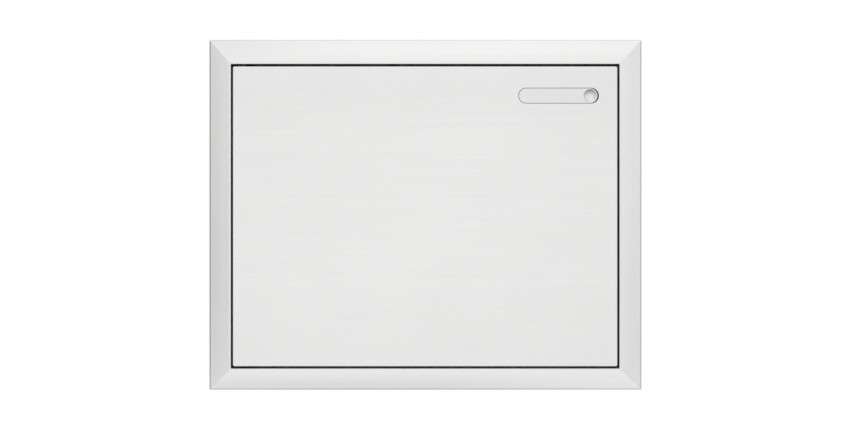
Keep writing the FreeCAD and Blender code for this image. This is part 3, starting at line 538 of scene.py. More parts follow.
@dataclass(frozen=True)
class BrushedSteel(Finish):
    """Stainless sheet with fine parallel brush marks."""

    tone: Colour = (0.85, 0.85, 0.845)
    contrast: float = 0.045
    layers: tuple[Layer, ...] = brushed(along=7.0, across=950.0)
    roughness: float = 0.33
    roughness_spread: tuple[float, float] = (0.9, 1.12)
    roughness_layer: int = 0
    relief_depth: float = 0.004 * MM
    relief_strength: float = 0.35
    anisotropy: float = 0.55

    def dress(self, graph: NodeGraph, shader: bpy.types.Node) -> None:
        """Metal whose highlights follow the grain.

        Args:
            graph: The material's tree.
            shader: Its shader.
        """
        shader.inputs["Metallic"].default_value = 1.0
        shader.inputs["Anisotropic"].default_value = self.anisotropy
        shader.inputs["Anisotropic Rotation"].default_value = QUARTER_TURN
        graph.link(self.grain_direction(graph), shader.inputs["Tangent"])

    def grain_direction(self, graph: NodeGraph) -> Socket:
        """The grain's direction, carried along when the piece turns.

        Args:
            graph: The material's tree.

        Returns:
            The direction's socket.
        """
        direction = graph.add("CombineXYZ")
        for part, target in zip(self.grain.value, direction.inputs):
            graph.feed(part, target)
        turned = graph.add(
            "VectorTransform", vector_type="VECTOR", convert_from="OBJECT", convert_to="WORLD"
        )
        graph.link(direction.outputs["Vector"], turned.inputs["Vector"])
        return turned.outputs["Vector"]


@dataclass(frozen=True)
class PlainMetal(Finish):
    """Metal or ferrite with no brush marks."""

    metallic: float = 1.0

    def dress(self, graph: NodeGraph, shader: bpy.types.Node) -> None:
        """Sets how metallic it is."""
        shader.inputs["Metallic"].default_value = self.metallic


@dataclass(frozen=True)
class Moulding(Finish):
    """Moulded nylon or rubber."""

    tone: Colour = (0.8, 0.79, 0.74)
    contrast: float = 0.05
    layers: tuple[Layer, ...] = pebbled(1400.0)
    roughness: float = 0.5
    roughness_spread: tuple[float, float] = (0.88, 1.1)
    relief_depth: float = 0.03 * MM
    relief_strength: float = 0.4
    specular: float = 0.5

    def dress(self, graph: NodeGraph, shader: bpy.types.Node) -> None:
        """Sheen of the moulded skin."""
        shader.inputs["Specular IOR Level"].default_value = self.specular


# Painted shade on the leaf's edge flange, which turns back into the gap round the door.
LEAF_RETURN_SHADE = Returns(axes=(1,), start=(15.2 * MM,), end=(13.8 * MM,))
# Painted shade: the leaf's face darkens slowly towards its top, its bottom and its latch side.
LEAF_SHADE_FADES = (
    PaintedFade(axis=2, start=90 * MM, end=190 * MM, depth=0.067),
    PaintedFade(axis=2, start=-60 * MM, end=-200 * MM, depth=0.062),
    PaintedFade(axis=0, start=60 * MM, end=230 * MM, depth=0.034),
)
# Painted shade: the stiles darken towards their lower ends.
STILE_SHADE_FADE = PaintedFade(axis=2, start=-130 * MM, end=-240 * MM, depth=0.133)
# Painted shade along the outer edges of the stiles and of the sill.
STILE_EDGE_SHADE = Returns(axes=(0,), start=(302.2 * MM,), end=(303.0 * MM,), tone=0.36)
SILL_EDGE_SHADE = Returns(axes=(2,), start=(242.2 * MM,), end=(243.3 * MM,), tone=0.66)
# Painted shade on the walls of the opening, inside the gap round the door.
SLEEVE_SHADE = Returns(axes=(0, 2), start=(272.0 * MM, 213.4 * MM), end=(271.1 * MM, 212.55 * MM))

SATIN_ACROSS = BrushedSteel("satin_steel_across", "satin_steel")
# The leaf, rail, sill and side finishes are copies of one satin steel, the leaf slightly paler in tone, that
# carry different painted shades.
LEAF_SATIN = BrushedSteel(
    "satin_steel_leaf", "satin_steel", tone=(0.858, 0.858, 0.853), shades=(LEAF_RETURN_SHADE, *LEAF_SHADE_FADES)
)
RAIL_SATIN = BrushedSteel("satin_steel_rail", "satin_steel", shades=(SLEEVE_SHADE,))
SILL_SATIN = BrushedSteel("satin_steel_sill", "satin_steel", shades=(SILL_EDGE_SHADE,))
HINGE_SATIN = BrushedSteel(
    "satin_steel_hinge_side", "satin_steel", grain=Grain.UPRIGHT, shades=(SLEEVE_SHADE, STILE_EDGE_SHADE, STILE_SHADE_FADE)
)
# The latch side is a lighter-shaded copy of the hinge side: its painted edge shade is paler, as the light
# falls from the right.
LATCH_SATIN = replace(
    HINGE_SATIN, name="satin_steel_latch_side", shades=(SLEEVE_SHADE, replace(STILE_EDGE_SHADE, tone=0.58), STILE_SHADE_FADE)
)
LEVER_SATIN = BrushedSteel(
    "satin_steel_lever", "satin_steel", tone=(0.80, 0.80, 0.795), roughness=0.3,
    layers=brushed(along=14.0, across=950.0),
)
POCKET_SATIN = BrushedSteel(
    "satin_steel_pocket", "satin_steel", tone=(0.70, 0.70, 0.69), contrast=0.04, roughness=0.42,
    anisotropy=0.2, layers=brushed(along=60.0, across=400.0),
)
MILL_ACROSS = BrushedSteel(
    "mill_steel_across", "edge_steel", tone=(0.66, 0.66, 0.65), contrast=0.035, roughness=0.38,
    anisotropy=0.25, layers=brushed(along=20.0, across=320.0),
)
MILL_UPRIGHT = replace(MILL_ACROSS, name="mill_steel_upright", grain=Grain.UPRIGHT)
ZINC_PLATE = PlainMetal(
    "zinc_plate", "plated_steel", tone=(0.66, 0.67, 0.66), tone_shift=(1.02, 1.0, 0.94), roughness=0.3
)
OILED_PIN = PlainMetal(
    "oiled_pin_steel", "plated_steel", tone=(0.12, 0.12, 0.125), tone_shift=(1.04, 1.0, 0.94), roughness=0.36
)
SPRING_WIRE = PlainMetal(
    "spring_wire", "spring_steel", tone=(0.72, 0.72, 0.73), contrast=0.04, roughness=0.2,
    layers=mottled(500.0),
)
WELD_METAL = PlainMetal(
    "weld_metal", "edge_steel", tone=(0.60, 0.57, 0.52), tone_shift=(0.92, 0.95, 1.05), contrast=0.12,
    roughness=0.34, layers=mottled(420.0),
)
FERRITE = PlainMetal(
    "pressed_ferrite", "ferrite", tone=(0.045, 0.045, 0.05), contrast=0.25, roughness=0.7, metallic=0.0,
    layers=mottled(900.0), relief_depth=0.05 * MM,
)
WHITE_NYLON = Moulding("white_nylon", "white_nylon", roughness=0.42)
GREY_NYLON = Moulding(
    "grey_nylon", "grey_nylon", tone=(0.03, 0.031, 0.033), contrast=0.1, roughness=0.6, specular=0.3
)
BLACK_NYLON = replace(
    GREY_NYLON, name="black_nylon", tone=(0.008, 0.008, 0.009), roughness=0.65, specular=0.14
)
BLACK_RUBBER = Moulding(
    "black_rubber", "black_rubber", tone=(0.022, 0.022, 0.023), contrast=0.18, roughness=0.62,
    specular=0.35, layers=pebbled(900.0),
)


def dress_nodes(finish: Finish, *nodes: str) -> None:
    """Gives frame nodes their finish.

    Args:
        finish: What they are made of.
        *nodes: Names of the nodes.
    """
    for node in nodes:
        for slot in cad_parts[node].material_slots:
            slot.material = finish.material()
        LOG.info("dressed %s in %s", node, finish.name)


class Workpiece:
    """A new mesh being shaped with mesh operators."""

    def __init__(self) -> None:
        """Starts with no geometry."""
        self.mesh = bmesh.new()

    def ring(self, sides: int) -> tuple[list[Corner], list[Edge]]:
        """Adds an open ring round the Z axis, a metre in radius, and gives its corners and edges."""
        made = bmesh.ops.create_circle(self.mesh, cap_ends=False, segments=sides, radius=1.0)["verts"]
        return made, list({edge for corner in made for edge in corner.link_edges})

    def ring_through(self, points: Sequence[Vector]) -> list[Edge]:
        """Adds an open ring through points.

        Args:
            points: The ring's corners, in order.

        Returns:
            The ring's edges.
        """
        made, edges = self.ring(len(points))
        for corner, point in zip(made, points):
            corner.co = point
        return edges

    def extruded(self, ring: Iterable[Edge]) -> tuple[list[Corner], list[Edge]]:
        """Extrudes a ring and leaves the new one where it is.

        Args:
            ring: Edges to extrude.

        Returns:
            The new ring's corners and edges.
        """
        geometry = bmesh.ops.extrude_edge_only(self.mesh, edges=list(ring))["geom"]
        made = only(Corner, geometry)
        edges = [edge for edge in only(Edge, geometry) if all(corner in made for corner in edge.verts)]
        return made, edges

    def draw(self, ring: Iterable[Edge], run: Vector) -> list[Edge]:
        """Extrudes a ring straight along a run.

        Args:
            ring: Edges to extrude.
            run: How far and which way.

        Returns:
            The new ring's edges.
        """
        made, edges = self.extruded(ring)
        bmesh.ops.translate(self.mesh, verts=made, vec=run)
        return edges

    def wind(
        self,
        ring: Iterable[Edge],
        turns: float,
        steps: int,
        rise: float = 0.0,
        pivot: Vector = Vector(),
        axis: Vector = Vector((0, 0, 1)),
    ) -> list[Edge]:
        """Sweeps a ring round an axis.

        Args:
            ring: Edges to sweep.
            turns: Turns round the axis.
            steps: Steps in all.
            rise: Travel along the axis in all.
            pivot: A point on the axis.
            axis: Direction of the axis.

        Returns:
            The last ring's edges.
        """
        made = bmesh.ops.spin(
            self.mesh, geom=list(ring), cent=pivot, axis=axis, dvec=axis * rise / steps,
            angle=math.tau * turns, steps=steps, use_merge=False, use_normal_flip=False,
            use_duplicate=False,
        )
        return only(Edge, made["geom_last"])

    def close(self, ring: Iterable[Edge]) -> None:
        """Fills a ring with one face."""
        bmesh.ops.contextual_create(self.mesh, geom=list(ring))

    def lathe(self, sides: int, rings: Sequence[tuple], bored: bool = False) -> None:
        """Turns a solid round the Z axis.

        Args:
            sides: Faces round the axis.
            rings: Radius and height of each ring in order, and its outline where it isn't round.
            bored: True to lead the last ring back to the first, through a bore, and not to close them.
        """
        made, first = self.ring(sides)
        shape(made, *rings[0])
        last = first
        for ring in rings[1:]:
            made, last = self.extruded(last)
            shape(made, *ring)
        if bored:
            bmesh.ops.bridge_loops(self.mesh, edges=first + last)
        else:
            self.close(first)
            self.close(last)

    def place(self, turn: Matrix, *spots: Vector) -> "Workpiece":
        """Turns everything made so far and leaves a copy at each spot.

        Args:
            turn: Rotation matrix.
            *spots: Where the origin goes.

        Returns:
            This workpiece.
        """
        bmesh.ops.transform(self.mesh, matrix=turn.to_4x4(), verts=self.mesh.verts)
        first = self.mesh.verts[:] + self.mesh.edges[:] + self.mesh.faces[:]
        copies = [bmesh.ops.duplicate(self.mesh, geom=first)["geom"] for _ in spots[1:]]
        for geometry, spot in zip((first, *copies), spots):
            bmesh.ops.translate(self.mesh, verts=only(Corner, geometry), vec=spot)
        return self

    def finished(self, name: str, body: str | None, finish: Finish) -> bpy.types.Object:
        """Turns the mesh into a dressed piece that rides on a body.

        Args:
            name: Name of the piece.
            body: Name of the body that it rides on, or nothing to leave the piece on no body.
            finish: What it is made of.

        Returns:
            The piece.
        """
        bmesh.ops.remove_doubles(self.mesh, verts=self.mesh.verts, dist=MERGE_DISTANCE)
        bmesh.ops.recalc_face_normals(self.mesh, faces=self.mesh.faces)
        data = bpy.data.meshes.new(name)
        self.mesh.to_mesh(data)
        self.mesh.free()
        data.shade_smooth()
        data.set_sharp_from_angle(angle=SMOOTH_ANGLE)
        data.materials.append(finish.material())
        piece = bpy.data.objects.new(name, data)
        bpy.context.scene.collection.objects.link(piece)
        if body:
            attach(piece, body)
        LOG.info("made %s with %d faces", name, len(data.polygons))
        return piece


TO_FRONT = Matrix.Rotation(math.radians(90), 3, "X")
TO_REAR = Matrix.Rotation(math.radians(-90), 3, "X")
TO_LATCH = Matrix.Rotation(math.radians(90), 3, "Y")
TO_HINGE = Matrix.Rotation(math.radians(-90), 3, "Y")
DOWN = Matrix.Rotation(math.pi, 3, "X")
UP = Matrix.Identity(3)


def only(kind: type, geometry: Iterable) -> list:
    """Items of one kind among a mesh's geometry."""
    return [item for item in geometry if isinstance(item, kind)]


def round_outline(angle: float) -> float:
    """Outline of a round ring, as a factor of its radius."""
    return 1.0


def shape(ring: Iterable[Corner], radius: float, height: float, outline: Outline = round_outline) -> None:
    """Gives a ring round the Z axis its size.

    Args:
        ring: The ring's corners.
        radius: Its radius.
        height: Its place along Z.
        outline: Factor of the radius for an angle.
    """
    for corner in ring:
        angle = math.atan2(corner.co.y, corner.co.x)
        reach = radius * outline(angle)
        corner.co = Vector((reach * math.cos(angle), reach * math.sin(angle), height))


def turned_rings(profile: Profile, radius: float, height: float) -> list[tuple[float, float]]:
    """Rings of a turned form, from its profile in shares of its radius and height."""
    return [(share * radius, rise * height) for share, rise in profile]


def cross_outline(arm: float, half_width: float, angle: float) -> float:
    """Outline of a cross recess.

    Args:
        arm: Length of an arm from the middle, as a factor of the radius.
        half_width: Half the width of an arm, as a factor of the radius.
        angle: Angle round the cross.

    Returns:
        Factor of the radius at the angle.
    """
    quarter = math.pi / 2
    off_axis = abs((angle + quarter / 2) % quarter - quarter / 2)
    if math.tan(off_axis) <= half_width / arm:
        return arm / math.cos(off_axis)
    return half_width / math.sin(off_axis)


def hexagon_outline(angle: float) -> float:
    """Outline of a hexagon with a corner on the Y axis.

    Args:
        angle: Angle round the hexagon.

    Returns:
        Factor of the corner radius at the angle.
    """
    sixth = math.pi / 3
    off_axis = (angle - math.pi / 2 + sixth / 2) % sixth - sixth / 2
    return math.cos(sixth / 2) / math.cos(sixth / 2 - abs(off_axis))


def coil_place(coil: float, pitch: float, turn: float) -> tuple[Vector, Vector]:
    """Point of a coil round the Z axis, and its direction there.

    Args:
        coil: Radius of the coil.
        pitch: Rise of the coil for each turn.
        turn: Turns from the front.

    Returns:
        The point and the direction.
    """
    angle = math.tau * turn
    spot = Vector((coil * math.sin(angle), -coil * math.cos(angle), pitch * turn))
    along = Vector((coil * math.cos(angle), coil * math.sin(angle), pitch / math.tau))
    return spot, along.normalized()


def wire_section(wire: float, sides: int, coil: float, pitch: float, turn: float) -> list[Vector]:
    """Section across the wire of a coil round the Z axis.

    Args:
        wire: Diameter of the wire.
        sides: Number of its sides.
        coil: Radius of the coil.
        pitch: Rise of the coil for each turn.
        turn: Where on the coil the section is, in turns from the front.

    Returns:
        The section's corners.
    """
    spot, along = coil_place(coil, pitch, turn)
    out = Vector((spot.x, spot.y, 0)).normalized()
    across = along.cross(out)
    return [
        spot + wire / 2 * (math.cos(angle) * out + math.sin(angle) * across)
        for angle in (math.tau * step / sides for step in range(sides))
    ]


@dataclass
class TrimFrame:
    """The trim, its stops and the welds that hold them."""

    cleat_sheet: float = 2.0 * MM
    bead_sides: int = 10
    bead_radius: float = 1.1 * MM
    bead_ripple: float = 1.3 * MM
    ripple_profile: Profile = ((0.82, 0.0), (1.0, 0.45))
    bead_start: float = 1.5 * MM
    tip_radius: float = 0.22 * MM
    tip_length: float = 0.4 * MM
    bead_sink: float = 0.605 * MM
    spot_sides: int = 14
    spot_radius: float = 2.4 * MM
    spot_height: float = 0.12 * MM
    spot_profile: Profile = ((1.0, -1.0), (1.0, 0.4), (0.82, 1.0), (0.5, 0.3))
    spot_pitch: float = 62.0 * MM
    spot_from_edge: float = 6.5 * MM

    def dress(self) -> None:
        """Satin grain along each side, with painted shade in the gap, along the outer edges and towards the
        stiles' lower ends, and plain sheet on what is hidden.
        """
        dress_nodes(RAIL_SATIN, "top_rail")
        dress_nodes(SILL_SATIN, "bottom_rail")
        dress_nodes(HINGE_SATIN, "hinge_stile")
        dress_nodes(LATCH_SATIN, "latch_stile")
        dress_nodes(MILL_ACROSS, "top_stop", "bottom_stop", "corner_cleats")
        dress_nodes(MILL_UPRIGHT, "hinge_stop", "latch_stop", "upper_hinge_plate", "lower_hinge_plate")

    def build(self) -> None:
        """Adds the corner welds of the sleeve and the spot welds of the stops."""
        self.corner_welds()
        self.spot_welds()

    def corner_welds(self) -> None:
        """Rippled beads along the sleeve's four corners, behind the back flange."""
        depth = places("top_rail")[1].y
        corner = places("corner_cleats")[1]
        inset = self.cleat_sheet + self.bead_sink
        ripples = int((depth - 2 * self.bead_start) / self.bead_ripple)
        bead = [
            (share * self.bead_radius, self.bead_start + (step + rise) * self.bead_ripple)
            for step in range(ripples + 1)
            for share, rise in self.ripple_profile
        ]
        front, rear = bead[0][1] - self.tip_length, bead[-1][1] + self.tip_length
        bead = [(self.tip_radius, front), *bead, (self.tip_radius, rear)]
        work = Workpiece()
        work.lathe(self.bead_sides, [(radius, -along) for radius, along in bead])
        work.place(TO_FRONT, *corners(corner.x - inset, corner.z - inset))
        work.finished("sleeve_corner_welds", "frame", WELD_METAL)

    def spot_welds(self) -> None:
        """Shallow round welds along the stops' legs."""
        reach = places("latch_stop")[1]
        y = reach.y - self.spot_from_edge
        side = reach.x - STOP_SHEET
        top = places("top_stop")[1].z - STOP_SHEET
        upright = [Vector((0, y, step)) for step in self.steps(reach.z)]
        across = [Vector((step, y, 0)) for step in self.steps(reach.x)]
        for name, turn, shift, row in (
            ("hinge_spot_welds", TO_LATCH, Vector((-side, 0, 0)), upright),
            ("latch_spot_welds", TO_HINGE, Vector((side, 0, 0)), upright),
            ("top_spot_welds", DOWN, Vector((0, 0, top)), across),
            ("bottom_spot_welds", UP, Vector((0, 0, -top)), across),
        ):
            work = Workpiece()
            work.lathe(self.spot_sides, turned_rings(self.spot_profile, self.spot_radius, self.spot_height))
            work.place(turn, *(shift + spot for spot in row)).finished(name, "frame", WELD_METAL)

    def steps(self, reach: float) -> list[float]:
        """Even places along a side, the same each way from its middle."""
        count = int((reach - self.spot_pitch / 2) / self.spot_pitch)
        return [self.spot_pitch * step for step in range(-count, count + 1)]


@dataclass
class HingeSet:
    """Pins, bushes, washers and brackets that the leaf turns on."""

    wire: float = 1.0 * MM
    wire_sides: int = 12
    coil_radius: float = 4.2 * MM
    open_turns: int = 3
    steps_per_turn: int = 28
    closed_pitch: float = 1.12 * MM
    pin_travel: float = 9.5 * MM
    knob_length: float = 4.2 * MM
    knob_edge: float = 0.5 * MM
    knob_stem: float = 1.75 * MM
    knob_ribs: int = 24
    sides_per_rib: int = 4
    rib_depth: float = 0.035
    dish_rim: float = 0.62
    dish_floor: float = 0.5

    def dress(self) -> None:
        """Black nylon and oiled pins on mill steel."""
        dress_nodes(BLACK_NYLON, "upper_hinge_bush", "lower_thrust_washer", "lower_door_bush")
        dress_nodes(OILED_PIN, "lower_hinge_pin", "upper_hinge_pin")
        dress_nodes(MILL_UPRIGHT, "upper_pin_bracket", "lower_pivot_bracket")

    def build(self) -> None:
        """Adds the spring and the ribbed knob."""
        self.pin_spring()
        self.thumb_knob()

    def pin_spring(self) -> None:
        """Compression spring with its end turns closed, made at rest on the door; the real one shortens as
        the pin is drawn.
        """
        low, high = places("hinge_pin_spring")
        centre = middle("hinge_pin_spring")
        closed = self.closed_pitch
        open_rise = high.z - low.z - self.wire - 2 * closed
        work = Workpiece()
        ring = work.ring_through(wire_section(self.wire, self.wire_sides, self.coil_radius, closed, 0))
        work.close(ring)
        for turns, rise in ((1, closed), (self.open_turns, open_rise), (1, closed)):
            ring = work.wind(ring, turns, self.steps_per_turn * turns, rise)
        work.close(ring)
        work.place(UP, Vector((centre.x, centre.y, low.z + self.wire / 2)))
        spring = work.finished("hinge_pin_coil", "door", SPRING_WIRE)
        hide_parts("hinge_pin_spring")
        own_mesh(spring)

    def thumb_knob(self) -> None:
        """Knob with a ribbed edge and a dished face, on its stem."""
        low, high = places("pin_thumb_knob")
        centre = middle("pin_thumb_knob")
        radius = (high.x - low.x) / 2
        front = high.y - self.knob_length
        edge = self.knob_edge
        work = Workpiece()
        work.lathe(self.sides_per_rib * self.knob_ribs, [
            (self.knob_stem, low.y),
            (self.knob_stem, front),
            (radius - edge, front),
            (radius, front + edge, self.ribs),
            (radius, high.y - edge, self.ribs),
            (radius - edge, high.y),
            (radius * self.dish_rim, high.y),
            (radius * self.dish_floor, high.y - edge),
        ])
        work.place(TO_REAR, Vector((centre.x, 0, centre.z)))
        knob = work.finished("ribbed_thumb_knob", "hinge_pin", OILED_PIN)
        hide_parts("pin_thumb_knob")

    def ribs(self, angle: float) -> float:
        """Ribbed edge of the knob, as a factor of its radius."""
        return 1.0 - self.rib_depth * (1 + math.cos(self.knob_ribs * angle))


@dataclass
class CatchSet:
    """Magnetic catches, strikes and bumpers at the latch side."""

    case_length: float = 62.0 * MM
    screw_sides: int = 32
    screw_head: float = 3.4 * MM
    screw_sink: float = 1.9 * MM
    screw_edge: float = 0.1 * MM
    screw_shank: float = 1.75 * MM
    screw_point: float = 0.35 * MM
    screw_reach: float = 11.0 * MM
    screw_spacing: float = 50.0 * MM
    recess: tuple[float, float] = (0.55, 0.14)
    recess_depth: float = 1.33 * MM
    recess_taper: float = 0.9
    rivet_sides: int = 24
    rivet_head: float = 2.6 * MM
    rivet_sink: float = 0.8 * MM
    rivet_edge: float = 0.08 * MM
    rivet_shank: float = 1.6 * MM
    rivet_point: float = 0.8 * MM
    rivet_taper: float = 0.64 * MM
    rivet_reach: float = 4.0 * MM
    rivet_spacing: float = 54.0 * MM
    dimple_rim: float = 1.12 * MM
    dimple_floor: float = 0.72 * MM
    dimple_depth: float = 0.35 * MM
    bumper_sides: int = 32
    foot_edge: float = 0.3 * MM
    foot_height: float = 0.4 * MM
    dome_depth: float = 2.7 * MM
    dome_steps: int = 9
    crown_radius: float = 0.15 * MM
    neck_radius: float = 2.35 * MM
    barb_radius: float = 3.2 * MM
    barb_gap: float = 0.05 * MM
    barb_land: float = 0.5 * MM
    lead_radius: float = 2.4 * MM
    lead_length: float = 2.6 * MM
    plug_tip: float = 1.2 * MM

    def dress(self) -> None:
        """Dark case, bare magnet, plated steel."""
        dress_nodes(GREY_NYLON, "catch_cases")
        dress_nodes(FERRITE, "catch_magnets")
        dress_nodes(ZINC_PLATE, "catch_poles", "strike_plates")

    def build(self) -> None:
        """Adds the screws, rivets and bumpers."""
        self.catch_screws()
        self.strike_rivets()
        self.bumpers()

    def pairs(self, node: str, length: float, spacing: float, y: float) -> list[Vector]:
        """Places of the two fasteners at each catch.

        Args:
            node: Frame node with one solid at each catch.
            length: Length of one solid.
            spacing: Distance between the two fasteners.
            y: Depth of their seat.

        Returns:
            The four places.
        """
        low, high = places(node)
        x = middle(node).x
        middles = (low.z + length / 2, high.z - length / 2)
        return [Vector((x, y, z + step)) for z in middles for step in (-spacing / 2, spacing / 2)]

    def catch_screws(self) -> None:
        """Flat-headed screws with a cross recess."""
        head, shank, edge = self.screw_head, self.screw_shank, self.screw_edge
        recess = partial(cross_outline, *self.recess)
        work = Workpiece()
        work.lathe(self.screw_sides, [
            (self.screw_point, -self.screw_reach),
            (shank, shank - self.screw_reach),
            (shank, -self.screw_sink),
            (head, -edge),
            (head - edge, 0.0),
            (head, 0.0, recess),
            (head * self.recess_taper, -self.recess_depth, recess),
        ])
        seat = places("catch_screws")[0].y
        work.place(TO_FRONT, *self.pairs("catch_cases", self.case_length, self.screw_spacing, seat))
        screws = work.finished("catch_cross_screws", "frame", ZINC_PLATE)
        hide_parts("catch_screws")

    def strike_rivets(self) -> None:
        """Flat rivets with the small dimple that setting leaves."""
        head, shank, edge = self.rivet_head, self.rivet_shank, self.rivet_edge
        work = Workpiece()
        work.lathe(self.rivet_sides, [
            (self.rivet_point, -self.rivet_reach),
            (shank, self.rivet_taper - self.rivet_reach),
            (shank, -self.rivet_sink),
            (head, -edge),
            (head - edge, 0.0),
            (self.dimple_rim, 0.0),
            (self.dimple_floor, -self.dimple_depth),
        ])
        seat = places("strike_rivets")[1].y
        work.place(TO_REAR, *self.pairs("strike_plates", STRIKE_LENGTH, self.rivet_spacing, seat))
        rivets = work.finished("set_strike_rivets", "door", ZINC_PLATE)
        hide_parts("strike_rivets")

    def bumpers(self) -> None:
        """Turned rubber bumpers with a domed face and a barbed plug."""
        low, high = places("door_bumpers")
        seat = places("latch_stop")[0].y
        radius = (high.x - low.x) / 2
        height = seat - low.y
        reach = high.y - seat
        work = Workpiece()
        dome = [
            (radius * math.cos(angle), height - self.dome_depth * (1 - math.sin(angle)))
            for angle in (math.pi / 2 * step / self.dome_steps for step in range(self.dome_steps))
        ]
        work.lathe(self.bumper_sides, [
            (self.plug_tip, -reach),
            (self.lead_radius, self.lead_length - reach),
            (self.barb_radius, -STOP_SHEET - self.barb_land),
            (self.barb_radius, -STOP_SHEET - self.barb_gap),
            (self.neck_radius, -STOP_SHEET),
            (self.neck_radius, 0.0),
            (radius - self.foot_edge, 0.0),
            (radius, self.foot_height),
            *dome,
            (self.crown_radius, height),
        ])
        x = middle("door_bumpers").x
        work.place(TO_FRONT, *(Vector((x, seat, end.value * (high.z - radius))) for end in End))
        bumpers = work.finished("domed_bumpers", "frame", BLACK_RUBBER)
        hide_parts("door_bumpers")


@dataclass
class DoorLeaf:
    """Face, liner, seal and screws of the leaf."""

    seal_foot: float = 8.0 * MM
    seal_lip: float = 0.4 * MM
    seal_base: float = 1.3 * MM
    seal_slope: float = 0.7
    seal_bulb: float = 2.4 * MM
    bulb_reach: float = math.radians(140)
    bulb_steps: int = 18
    seal_corner: float = 10.0 * MM
    corner_steps: int = 10
    screw_sides: int = 32
    screw_head: float = 3.8 * MM
    screw_rise: float = 2.2 * MM
    screw_edge: float = 0.15 * MM
    pan_profile: Profile = ((0.985, 0.35), (0.9, 0.66), (0.74, 0.88), (0.6, 0.97))
    recess: tuple[float, float] = (0.5, 0.13)
    recess_floor: float = 0.55 * MM
    recess_taper: float = 0.9
    screw_shank: float = 1.9 * MM
    screw_point: float = 0.285 * MM
    screw_length: float = 9.0 * MM
    screw_inset: float = 7.2 * MM
    screw_pitch: float = 147.0 * MM
    screw_columns: int = 4
    strike_to_screw: float = 17.0 * MM

    def dress(self) -> None:
        """Satin face with painted shade on its edge flange and towards its top, bottom and latch side, liner
        and hidden stiffeners.
        """
        dress_nodes(LEAF_SATIN, "door_skin")
        dress_nodes(SATIN_ACROSS, "door_liner")
        dress_nodes(MILL_UPRIGHT, "hinge_side_stiffener", "latch_side_stiffener")

    def build(self) -> None:
        """Adds the seal and the liner screws."""
        self.seal()
        self.liner_screws()

    def seal(self) -> None:
        """Bulb seal on a flat foot, run round the leaf in one length with rounded corners."""
        low, high = places("door_seal")
        edge = self.seal_foot / 2 + self.seal_corner
        x = (high.x - low.x) / 2 - edge
        z = (high.z - low.z) / 2 - edge
        start = Vector((0, low.y, -z - self.seal_corner))
        work = Workpiece()
        ring = work.ring_through([start + point for point in self.seal_outline(high.y - low.y)])
        ring = work.draw(ring, Vector((x, 0, 0)))
        for pivot, run in (
            (Vector((x, 0, -z)), Vector((0, 0, 2 * z))),
            (Vector((x, 0, z)), Vector((-2 * x, 0, 0))),
            (Vector((-x, 0, z)), Vector((0, 0, -2 * z))),
            (Vector((-x, 0, -z)), Vector((x, 0, 0))),
        ):
            ring = work.wind(ring, QUARTER_TURN, self.corner_steps, pivot=pivot, axis=Vector((0, -1, 0)))
            ring = work.draw(ring, run)
        seal = work.finished("bulb_seal", "door", BLACK_RUBBER)
        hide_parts("door_seal")

    def seal_outline(self, tall: float) -> list[Vector]:
        """Section of the seal across its run: a foot with thinned edges and a round bulb.

        Args:
            tall: Height of the whole section.

        Returns:
            The section's corners, at X of zero, with Y as height and Z as width.
        """
        half = self.seal_foot / 2
        foot = [(0.0, -half), (self.seal_lip, -half), (self.seal_base, -half * self.seal_slope)]
        turns = (self.bulb_reach * (2 * step / self.bulb_steps - 1) for step in range(self.bulb_steps + 1))
        bulb = [
            (tall - self.seal_bulb * (1 - math.cos(turn)), self.seal_bulb * math.sin(turn)) for turn in turns
        ]
        other = [(height, -width) for height, width in reversed(foot)]
        return [Vector((0, height, width)) for height, width in foot + bulb + other]

    def liner_screws(self) -> None:
        """Pan-headed screws with a cross recess, all round the liner."""
        head, rise, shank, edge = self.screw_head, self.screw_rise, self.screw_shank, self.screw_edge
        tip = rise - self.screw_length
        recess = partial(cross_outline, *self.recess)
        work = Workpiece()
        work.lathe(self.screw_sides, [
            (self.screw_point, tip - shank),
            (shank, tip),
            (shank, 0.0),
            (head - edge, 0.0),
            (head, edge),
            *turned_rings(self.pan_profile, head, rise),
            (head, rise, recess),
            (head * self.recess_taper, self.recess_floor, recess),
        ])
        screws = work.place(TO_REAR, *self.screw_spots()).finished("cross_liner_screws", "door", ZINC_PLATE)
        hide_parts("liner_screws")

    def screw_spots(self) -> list[Vector]:
        """Where the liner screws go: rows above and below, and a pair at each side, past the strikes.

        Returns:
            The seat of each screw.
        """
        high = places("door_skin")[1]
        strike_low, strike_high = places("strike_plates")
        top = high.z - self.screw_inset
        side_z = strike_high.z - STRIKE_LENGTH - self.strike_to_screw
        first = -self.screw_pitch * (self.screw_columns - 1) / 2
        rows = [
            Vector((first + self.screw_pitch * column, 0, end.value * top))
            for column in range(self.screw_columns)
            for end in End
        ]
        seat = Vector((0, strike_low.y, 0))
        return [seat + spot for spot in rows + corners(high.x - self.screw_inset, side_z)]


